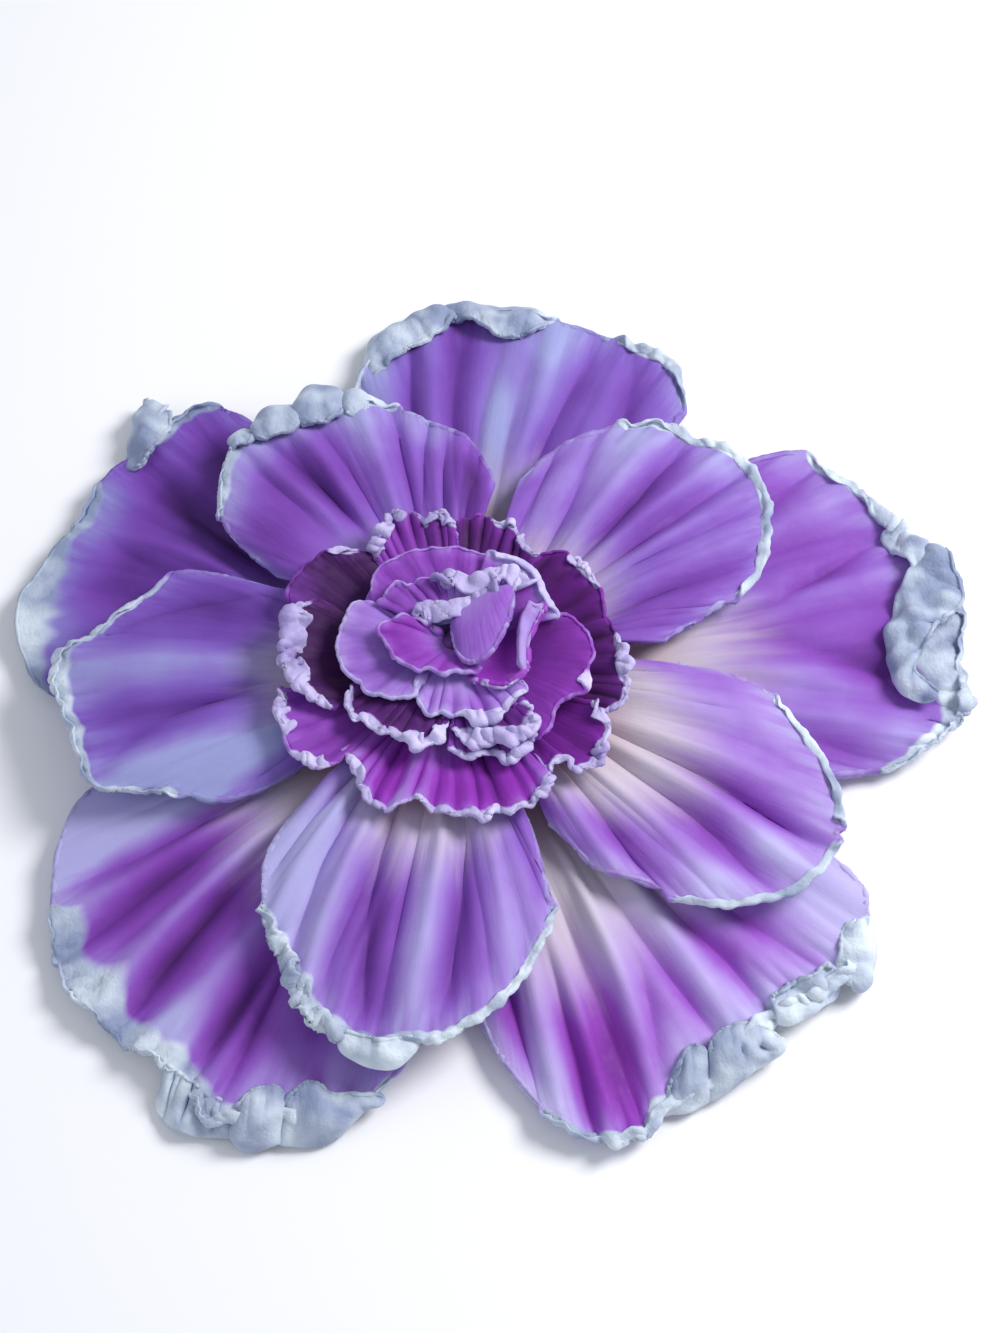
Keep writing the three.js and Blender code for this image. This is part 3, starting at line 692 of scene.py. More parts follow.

# Each lobe is a sheet between its foot and its edge, which is a line of [x, y, height, make] points taken
# counter-clockwise. The foot is an arc about the bloom's axis, grows being its [radius, height], or a line
# of its own. pleats are [spacing, depth, share out where they start], and bulge is how far the lobe's
# middle swells. deep and pale washes are as a petal's, with the share of the way along the edge for angle.
# shade is how strong the dye is; where it is past 1, as inside the collar's lobes under the flounces, the
# darker dye is painted shade. fade is how much it thins out towards the rim. blue, magenta and grey are
# as a petal's, and knob is the width of the knobs that the rim is pinched into.
COLLAR = [
    {
        "name": "collar_lobe_top", "pleats": [2.2, 0.75, 0.3], "shade": 0.66, "magenta": 0.73,
        "deep": [[0.35, 0.9, 0.12, 0.3, 0.35]],
        "edge": [
            [0.9, 14, 11.4, BARE], [0.5, 16.8, 12.8, THIN], [0.2, 18.4, 13.4, FRILL],
            [-0.7, 19.3, 13.6, KNOB], [-1.8, 20.4, 13.8, KNOB], [-3, 19.7, 13.7, KNOB],
            [-4, 18.8, 13.5, FRILL], [-5, 19.9, 13.5, THIN], [-6.3, 19.9, 13.6, THIN],
            [-6.9, 20, 13.8, KNOB], [-8.2, 20.1, 13.9, KNOB], [-9, 19.5, 13.8, CORD],
            [-9.6, 18.1, 13.6, CORD], [-10.4, 16.2, 13.3, CORD], [-10.7, 14.6, 12.8, CORD],
            [-10.1, 13.3, 12, BARE],
        ],
    },
    {
        "name": "collar_lobe_top_right", "pleats": [1.9, 0.8, 0.3], "shade": 1, "magenta": 0.79,
        "deep": [[0.75, 0.85, 0.2, 0.4, 0.3]],
        "edge": [
            [11, 13.7, 12.4, BARE], [9.9, 14.5, 13.2, FRILL], [8.9, 15.6, 13.5, FRILL],
            [8.2, 17.4, 13.6, FRILL], [6.9, 18.5, 13.8, FRILL], [5.5, 18.3, 13.8, FRILL],
            [4.5, 18.9, 13.8, THIN], [3.1, 19.2, 13.8, THIN], [1.9, 18.8, 13.7, THIN],
            [0.7, 18.8, 13.5, THIN], [0, 17.5, 13, THIN], [-0.3, 15.7, 12, BARE],
        ],
    },
    {
        "name": "collar_lobe_upper_right", "pleats": [3.4, 0.5, 0.3], "shade": 1.2, "magenta": 0.92,
        "edge": [
            [19.7, 3.3, 12, BARE], [18.8, 4.7, 12.6, THIN], [18.5, 7.1, 12.9, THIN],
            [18.2, 8.8, 13, THIN], [17.6, 10.5, 13.2, FRILL], [16.5, 11.9, 13.3, FRILL],
            [15.3, 13.3, 13.4, KNOB], [14.2, 13.8, 13.3, THIN], [12.7, 14.3, 13, THIN],
            [11.3, 14.1, 12.8, THIN], [9.9, 13.5, 12.4, BARE],
        ],
    },
    {
        "name": "collar_lobe_right", "pleats": [2.6, 0.5, 0.3], "shade": 1.25, "magenta": 0.73,
        "edge": [
            [17.5, -8.5, 12, BARE], [19.3, -8.6, 12.8, FRILL], [20.9, -7.5, 13, FRILL],
            [21.7, -5.6, 13.1, FRILL], [21.2, -4.3, 13, FRILL], [21.4, -3.2, 13.1, KNOB],
            [22.1, -1.8, 13.2, KNOB], [21.4, -0.2, 13.1, KNOB], [20.7, 1.3, 13, FRILL],
            [19.9, 2.9, 12.8, THIN], [18.7, 4.7, 12.4, BARE],
        ],
    },
    {
        "name": "collar_lobe_lower_right", "pleats": [4, 0.3, 0.3], "shade": 1, "magenta": 0.98,
        "edge": [
            [11.1, -17, 11.8, BARE], [12.4, -15.7, 12.4, FRILL], [13.6, -15.5, 12.6, FRILL],
            [15, -16.8, 12.7, FRILL], [16.5, -16.4, 12.7, FRILL], [17.9, -15.7, 12.7, KNOB],
            [18.8, -14, 12.8, KNOB], [18.9, -11.9, 12.8, FRILL], [18.9, -10.2, 12.8, FRILL],
            [18.2, -8.3, 12.9, KNOB], [16.9, -7.2, 12.3, BARE],
        ],
    },
    {
        "name": "collar_lobe_bottom", "pleats": [2.9, 0.85, 0.25], "shade": 0.43, "magenta": 1.1,
        "deep": [[0.7, 0.85, 0.16, 0.4, 0.3]],
        "edge": [
            [-13.6, -13.2, 11.8, BARE], [-12.4, -15.1, 12.2, FRILL], [-12, -16.7, 12.5, KNOB],
            [-11.4, -18.4, 12.6, FRILL], [-10.4, -20.3, 12.6, FRILL], [-9.3, -20.8, 12.6, FRILL],
            [-7.8, -21.8, 12.5, THIN], [-6.3, -21.1, 12.6, THIN], [-4.6, -20.2, 12.8, THIN],
            [-3.2, -21.6, 12.6, FRILL], [-1.5, -22.2, 12.5, FRILL], [0.3, -22.7, 12.4, FRILL],
            [2.3, -23, 12.4, KNOB], [4.1, -22.8, 12.5, KNOB], [5.7, -21.9, 12.6, FRILL],
            [7.3, -22.4, 12.6, FRILL], [9, -21.7, 12.7, FRILL], [10.6, -20.8, 12.8, KNOB],
            [11.8, -19.2, 12.9, KNOB], [12, -17.4, 12.6, FRILL], [11.3, -15.6, 12, BARE],
        ],
    },
    {
        "name": "collar_lobe_lower_left", "pleats": [3.6, 0.5, 0.3], "shade": 0.72, "magenta": 0.61,
        "edge": [
            [-20.8, -5.2, 12.6, BARE], [-21.7, -7, 12.9, KNOB], [-21.9, -9.2, 13, CORD],
            [-21.1, -10.9, 12.9, CORD], [-20.6, -12.3, 12.7, THIN], [-19.8, -13.8, 12.6, THIN],
            [-18.8, -15.1, 12.6, FRILL], [-17.2, -15.9, 12.6, KNOB], [-15.9, -16.4, 12.6, KNOB],
            [-14.7, -15.9, 12.2, THIN], [-13.6, -14.6, 11.8, BARE],
        ],
    },
    {
        "name": "collar_lobe_left", "pleats": [4.2, 0.3, 0.3], "shade": 1.45, "magenta": 0.43,
        "grey": 0.45,
        "edge": [
            [-15.8, 6.8, 12.8, BARE], [-17.9, 6.7, 13.4, THIN], [-19.8, 5.9, 14, FRILL],
            [-21.1, 4.8, 14.2, FLAP], [-21.5, 3.1, 14.3, FLAP], [-21.2, 1.4, 14.2, ROPE],
            [-21.5, -0.6, 14.2, ROPE], [-21.4, -2.5, 14.1, ROPE], [-20.5, -4.5, 14, ROPE],
            [-19.7, -6, 13.9, ROPE], [-18.1, -7.2, 13.7, CORD], [-16.5, -8.3, 13.4, KNOB],
            [-14.9, -8.4, 12.9, THIN], [-14, -7.1, 12.4, BARE],
        ],
    },
    {
        "name": "collar_lobe_upper_left", "pleats": [5, 0.3, 0.3], "shade": 1.4, "magenta": 0.37,
        "pale": [[0.85, 0.9, 0.14, 0.25, 0.35]],
        "edge": [
            [-10.4, 14.5, 12.2, BARE], [-12.2, 14.4, 12.9, THIN], [-13.9, 14.6, 13.1, FRILL],
            [-15.1, 14.5, 13.2, FRILL], [-16.4, 14.2, 13.2, THIN], [-18, 12.8, 13.3, THIN],
            [-19.4, 11.2, 13.3, THIN], [-20.5, 9.5, 13.3, THIN], [-20.9, 7.8, 13.2, THIN],
            [-20.5, 6.3, 12.8, BARE],
        ],
    },
]

FLOUNCES = [
    {
        "name": "flounce_top", "pleats": [3.4, 0.45, 0.3], "shade": 0.72, "magenta": 0.55,
        "edge": [
            [8.6, 8.9, 14.8, BARE], [6.5, 11.1, 15.3, THIN], [4.3, 12, 15.7, THIN],
            [2.2, 12.4, 15.8, THIN], [0.2, 13.1, 15.9, THIN], [-1.8, 12.8, 15.9, THIN],
            [-3.7, 12.8, 15.8, THIN], [-5.6, 12.4, 15.8, THIN], [-7, 11.7, 15.7, THIN],
            [-8.4, 11, 15.6, THIN], [-9.5, 10.3, 15.6, THIN], [-10.2, 8.6, 15.5, THIN],
            [-10.4, 6.9, 15.4, THIN], [-10.9, 5.4, 15, BARE],
        ],
    },
    {
        "name": "flounce_top_inner", "grows": [3, 14.2], "pleats": [1.8, 0.5, 0.3], "shade": 0.7,
        "magenta": 0.49,
        "edge": [
            [-0.3, 6.9, 16.2, BARE], [-1.8, 7.7, 16.7, THIN], [-3.2, 8.1, 16.8, THIN],
            [-4.7, 7.6, 16.7, THIN], [-5.7, 6.9, 16.6, THIN], [-6.8, 7.8, 16.5, THIN],
            [-8, 6.8, 16.3, THIN], [-8.8, 5.6, 16.1, THIN], [-9.7, 4.8, 15.8, BARE],
        ],
    },
    {
        "name": "flounce_left", "pleats": [3.4, 0.45, 0.35], "shade": 0.42, "magenta": 0.12,
        "edge": [
            [-9.9, 5.3, 14.8, BARE], [-11, 5.7, 15.3, THIN], [-12.5, 5, 15.5, THIN],
            [-13.4, 3.1, 15.5, THIN], [-14, 1, 15.4, THIN], [-14.3, -1.5, 15.3, THIN],
            [-13.7, -3.4, 15.2, THIN], [-12.6, -4.8, 15.1, THIN], [-11.4, -5.8, 15, THIN],
            [-10.6, -7.1, 15, THIN], [-9.1, -7.6, 15, THIN], [-7.7, -8, 15, THIN],
            [-6.1, -7.9, 15, THIN], [-4.5, -7.5, 15, THIN], [-4.2, -5.3, 14.6, BARE],
        ],
    },
    {
        "name": "flounce_left_crust", "grows": [3.5, 12], "pleats": [2, 0.4, 0.3], "knob": 1.3,
        "shade": 1.3, "magenta": 0.61,
        "edge": [
            [-11.8, -5.3, 13.6, BARE], [-13.1, -6.5, 13.9, FRILL], [-13.3, -8.2, 13.8, FRILL],
            [-12.5, -10.2, 13.8, FRILL], [-10.8, -10.4, 14, FRILL], [-10, -11.6, 14, KNOB],
            [-8.9, -13, 14, KNOB], [-7.5, -12.6, 14, KNOB], [-6.5, -13.7, 14, KNOB],
            [-4.9, -13.7, 14, KNOB], [-3.7, -14.5, 13.9, KNOB], [-1.8, -13.7, 14, KNOB],
            [-0.7, -11.9, 14, KNOB], [-1.2, -9.8, 13.6, BARE],
        ],
    },
    {
        "name": "flounce_bottom", "grows": [2.6, 13.8], "pleats": [2.4, 0.5, 0.3], "knob": 1.2,
        "shade": 0.42, "magenta": 0.55,
        "edge": [
            [-5.2, -5.3, 14.6, BARE], [-4.5, -7.4, 14.9, THIN], [-3.8, -9.2, 14.9, THIN],
            [-2.7, -10.4, 14.8, THIN], [-1.5, -9.7, 14.9, THIN], [-0.1, -10.3, 14.8, THIN],
            [1.3, -10.7, 14.8, FRILL], [3, -11.5, 14.7, CORD], [4.7, -11.2, 14.7, CORD],
            [6.1, -10, 14.8, FRILL], [7.6, -8.5, 14.9, FRILL], [8.9, -6.9, 15, THIN],
            [8.2, -5.5, 14.7, BARE],
        ],
    },
    {
        "name": "flounce_bottom_crust", "grows": [3.5, 12.4], "pleats": [2, 0.4, 0.3], "knob": 1.3,
        "shade": 1.1, "magenta": 0.61,
        "edge": [
            [-0.3, -10.9, 13.6, BARE], [0.6, -12.6, 13.7, FRILL], [1.7, -13.6, 13.8, CRUST],
            [3.6, -14, 13.8, CRUST], [5.7, -13.8, 13.9, CRUST], [7.6, -13.4, 13.9, CRUST],
            [9.5, -13.1, 14, CRUST], [10.7, -11.4, 14.1, CRUST], [10.3, -9.7, 14.2, CRUST],
            [8.8, -8.7, 14.2, FRILL], [7.1, -8.8, 13.8, BARE],
        ],
    },
    {
        "name": "flounce_bottom_frill", "grows": [3.8, 11.8], "pleats": [2, 0.4, 0.3], "knob": 1.3,
        "shade": 0.9, "magenta": 0.61,
        "edge": [
            [-0.7, -13.2, 12.8, BARE], [0.4, -14.8, 13, FRILL], [2, -15.3, 13, FRILL],
            [4, -14.9, 13.1, FRILL], [5.4, -15.1, 13.1, FRILL], [6.7, -15.8, 13.1, KNOB],
            [8.3, -15.2, 13.2, KNOB], [9.6, -13.6, 13.3, FRILL], [10.7, -12.3, 13.5, FRILL],
            [11.4, -10.4, 13.3, BARE],
        ],
    },
    {
        "name": "flounce_right", "grows": [3.4, 12.6], "pleats": [7, 0.3, 0.4], "shade": 1,
        "magenta": 0.85,
        "edge": [
            [9.9, -12.7, 13.2, BARE], [11, -12.4, 13.9, THIN], [11.8, -11.3, 14.1, THIN],
            [12.2, -9.6, 14.3, THIN], [13.1, -8.2, 14.5, THIN], [14.4, -7.7, 14.6, THIN],
            [16, -7.2, 14.7, THIN], [16.7, -5.6, 14.8, TUCK], [16.5, -3.8, 14.9, THIN],
            [17, -2.2, 15, THIN], [16.8, -0.4, 15.1, THIN], [16.3, 1.1, 15.2, THIN],
            [15.4, 2.5, 15.3, THIN], [14.2, 3.3, 15.4, THIN], [12.8, 3.6, 15.4, THIN],
            [11.4, 2.7, 15.2, BARE],
        ],
    },
]

HEART = [
    {
        "name": "heart_arc", "grows": [4, 14.4], "pleats": [5, 0.2, 0.4], "shade": 0.62,
        "magenta": 0.73, "pale": [[0.5, 1, 1, 0.12, 0.4]],
        "edge": [
            [12.8, 2.4, 16.4, BARE], [12.2, 3.7, 16.9, LEDGE], [11.4, 5.4, 17.1, LEDGE],
            [10.7, 7.4, 17.2, LEDGE], [9.7, 9, 17.2, LEDGE], [8.4, 10, 17.2, LEDGE],
            [6.9, 10.8, 17.1, LEDGE], [5.4, 11.3, 17, LEDGE], [4, 11.6, 16.8, BARE],
        ],
    },
    {
        "name": "heart_shell", "grows": [0.9, 14.6], "pleats": [2.6, 0.4, 0.2], "shade": 0.68,
        "magenta": 0.79,
        "edge": [
            [-1.9, 0.6, 15.8, BARE], [-3.2, 1.8, 16.5, THIN], [-4.6, 2.3, 16.8, THIN],
            [-6.2, 2.5, 17, THIN], [-7.8, 1.8, 17.2, THIN], [-9.1, 0.5, 17.3, THIN],
            [-8.7, -1, 17.2, THIN], [-7.7, -2.3, 17.1, THIN], [-7.1, -3.6, 17, THIN],
            [-5.7, -4.5, 16.9, THIN], [-4.3, -5.2, 16.9, THIN], [-2.8, -5, 16.8, THIN],
            [-1.4, -5.7, 16.8, THIN], [0.3, -5.4, 16.7, THIN], [2, -5.2, 16.6, THIN],
            [3.5, -4.3, 16.2, BARE],
        ],
    },
    {
        "name": "heart_fold", "grows": [2.4, 14.2], "cup": LIP_CUP, "fade": 0.22, "shade": 0.56,
        "magenta": 1.9,
        "edge": [
            [2, -6, 15.4, BARE], [3.5, -6.6, 15.9, PALE_HEM], [4.9, -7.1, 16.1, PALE_HEM],
            [6.3, -7.3, 16.3, PALE_HEM], [7.6, -6.7, 16.5, PALE_HEM], [8.9, -5.8, 16.7, HEM],
            [9.7, -4.7, 16.9, LIP], [9.8, -2.9, 17.2, LIP], [9.9, -1.4, 17.5, LIP],
            [10.9, 0.3, 17.8, BROAD], [12.1, 2.5, 18, BROAD], [11.7, 4.4, 17.2, BARE],
        ],
    },
    {
        "name": "heart_frill_back", "grows": [3, 14.6], "pleats": [1.6, 0.5, 0.2], "knob": 1.5,
        "shade": 0.5, "magenta": 0.37, "grey": 0.45,
        "edge": [
            [10.1, 6.7, 16.4, BARE], [9.1, 8, 17.2, CREST], [7.4, 8.8, 17.6, CREST],
            [5.7, 9.1, 17.8, CREST], [4.1, 8.8, 17.8, CREST], [2.8, 7.7, 17.6, CREST],
            [1.5, 8.2, 17.5, CREST], [-0.1, 8.9, 17.3, CREST], [-1.6, 8.5, 17.1, CREST],
            [-2.2, 7.2, 16.6, BARE],
        ],
    },
    {
        "name": "heart_frill_front",
        "foot": [[4.4, 4.3, 16.6], [2.2, 3.4, 16.2], [-0.2, 2.4, 15.4], [-2.7, 2.4, 15]],
        "pleats": [1.4, 0.4, 0.2], "knob": 1.5, "shade": 0.1, "magenta": 0, "blue": 0.6,
        "grey": 0.5,
        "edge": [
            [5.4, 6.1, 17.4, BARE], [4.1, 5.8, 18.1, CREST], [2.6, 5, 18, CREST],
            [1, 4.4, 17.8, CREST], [-0.7, 4.3, 17.6, CREST], [-2.4, 4.2, 17.4, CREST],
            [-4.2, 3.9, 17.1, CREST], [-4.9, 2.8, 16.7, FRILL], [-3.8, 2.2, 16, BARE],
        ],
    },
    {
        "name": "heart_tongue",
        "foot": [[0.1, 2.7, 16.4], [1.7, 4.1, 17.2], [3.9, 5.4, 17.6], [6.5, 6.4, 17.2]],
        "cup": STRAIGHT_CUP, "bulge": 1.3, "fade": 0.4, "shade": 0.58, "magenta": 0.37,
        "pale": [[0.75, 0.9, 0.2, 0.2, 0.05]],
        "edge": [
            [-0.1, 1.8, 16.4, BARE], [0, 0.1, 16.5, HEM], [0.3, -2, 16.7, HEM],
            [0.8, -3.8, 16.9, HEM], [2, -4.8, 17.1, HEM], [3.6, -4.5, 17.5, HEM],
            [5, -3.3, 18, HEM], [6.1, -1.3, 18.4, HEM], [7, 1, 18.8, HEM], [7.5, 3.5, 18.4, HEM],
            [7.3, 5.6, 17.6, BARE],
        ],
    },
]

RUFFLES = [
    {"node": "collar", "slot": "collar", "cup": COLLAR_CUP, "grows": [4.6, 9.6], "lobes": COLLAR},
    {"node": "flounces", "slot": "flounce", "cup": FLOUNCE_CUP, "grows": [3.2, 12.8], "lobes": FLOUNCES},
    {"node": "heart", "slot": "heart", "cup": HEART_CUP, "grows": [2, 14.4], "lobes": HEART},
]

PLAIN_LOBE = {
    "pleats": [9, 0.1, 0.3], "bulge": 0, "dents": [], "sway": 0, "knob": 0.9,
    "magenta": 0, "blue": 0.1, "grey": 0.25, "fade": 0.8, "deep": [], "pale": [],
}
FINE_PLEATS = [0.9, 0.07, 0.4]


def traced(points, shares):
    """Points at these shares of the way along a smooth line through the given ones."""
    return np.stack([along([point[axis] for point in points], shares) for axis in range(3)], -1)


def evenly_traced(points, step, sheet):
    """Even steps along a smooth line: the points, their shares of the way and distances, and its length."""
    fine = np.linspace(0, 1, FINE_STEPS)
    distance = distances(np.linalg.norm(np.diff(traced(points, fine), axis=0), axis=1))
    placed = spaced(distance[-1], step, sheet)
    shares = np.interp(placed, distance, fine)
    return traced(points, shares), shares, placed, distance[-1]


def pleated(pleats, distance, share, seed):
    """How far uneven soft pleats push a lobe in, at each distance along its edge and share out."""
    spacing, depth, first = pleats
    random = np.random.default_rng(seed)
    push = np.zeros(distance.shape)
    place = distance.min() + random.uniform(0.2, 0.9) * spacing
    while place < distance.max():
        half_width = spacing * random.uniform(0.2, 0.42)
        starts = first + random.uniform(-0.1, 0.3)
        leaning = place + random.uniform(-0.5, 0.5) * spacing * (1 - share)
        amount = depth * random.uniform(0.5, 1.2)
        off = np.abs(distance - leaning) / half_width
        push -= amount * eased(share, starts - 0.1, starts + 0.4) * np.exp(-(off**1.7))
        place += spacing * random.uniform(0.65, 1.4)
    return push


def foot_line(piece, line, shares):
    """Where a lobe's columns start: on its own foot, or on the arc that it grows from."""
    if "foot" in piece:
        return traced(piece["foot"], shares)
    radius, height = piece["grows"]
    first = math.atan2(line[0][1], line[0][0])
    last = math.atan2(line[-1][1], line[-1][0])
    last += 2 * math.pi * (last < first)
    angles = first + (last - first) * shares
    level = np.full(len(angles), float(height))
    return np.stack([radius * np.cos(angles), radius * np.sin(angles), level], -1)


def make_lobe(ruffle, lobe, seed):
    piece = {**PLAIN_LOBE, **ruffle, **lobe}
    edge = piece["edge"]
    line, place, distance, length = evenly_traced([point[:3] for point in edge], LOBE_STEP, FRILL_SHEET)
    makes = [[number, *point[3]] for number, point in enumerate(edge)]
    rim = rim_along(makes, place * (len(edge) - 1), distance, piece["knob"], FRILL_SHEET, seed)
    foot = foot_line(piece, line, place)
    tangent = unit(averaged(differences(line, 0), 3))
    outward = line - foot
    outward = unit(outward - tangent * np.sum(outward * tangent, -1, keepdims=True))
    line = line - outward * overhang(rim)[:, None]

    share = rows_out(LOBE_ROWS, 1.2)
    distance_grid, share_grid = grid(distance, share)
    place_grid = grid(place, share)[0]
    rise = np.dstack([share_grid, share_grid, along(piece["cup"], share_grid)])
    middle = foot[:, None] + (line - foot)[:, None] * rise
    normal = unit(averaged(facing(middle), 4))
    folds = pleated(piece["pleats"], distance_grid, share_grid, seed)
    folds = folds + pleated(FINE_PLEATS, distance_grid, share_grid, seed + 1)
    sideways = np.sin(math.pi * np.clip(place_grid, 0, 1)) ** 0.5
    swell = piece["bulge"] * np.sin(math.pi * share_grid) ** 0.8 * sideways
    swell = swell - washed(piece["dents"], place_grid, share_grid)
    swell = swell + piece["sway"] * lumps(middle, 2.6, seed + 3)
    ruffle_up = 0.3 * eased(share_grid, 0.6, 1) * wander(distance, 3.0, seed + 9)[:, None]
    middle = middle + normal * (folds + swell + ruffle_up)[..., None]

    middle, beyond, axes = roll_rim(middle, rim)
    middle = crumple(middle, beyond, distance, rim, axes, seed + 10)
    side_gap = gap_to_side(distance, length, share_grid, beyond.shape[1])
    paint = painted(rim, beyond, share_grid, 1.2 * distance_grid, folds, piece, place_grid)
    made = sheet_object(piece["name"], middle, beyond, rim, side_gap, seed, paint)
    belongs(made, piece["node"])
    return made


# ---- Rolled rims -----------------------------------------------------------------------------------

# Where a petal's rim is rolled or folded back into a thick lump. Each one is a lobe, as in the rosette,
# that swells between its foot and its edge. The edge has one make all along, and bare foam all over.
# sway and crumpling are how far it is creased, and dents are pressed in at [share along, share across,
# half width, half length, depth]. grey is how much painted shade its bare foam gets, less below zero.
TUCKED = [1, 0.25, -110, 0.1, 0.3]
FLAP_CUP = [0, 0.6, 0.9, 1, 1]

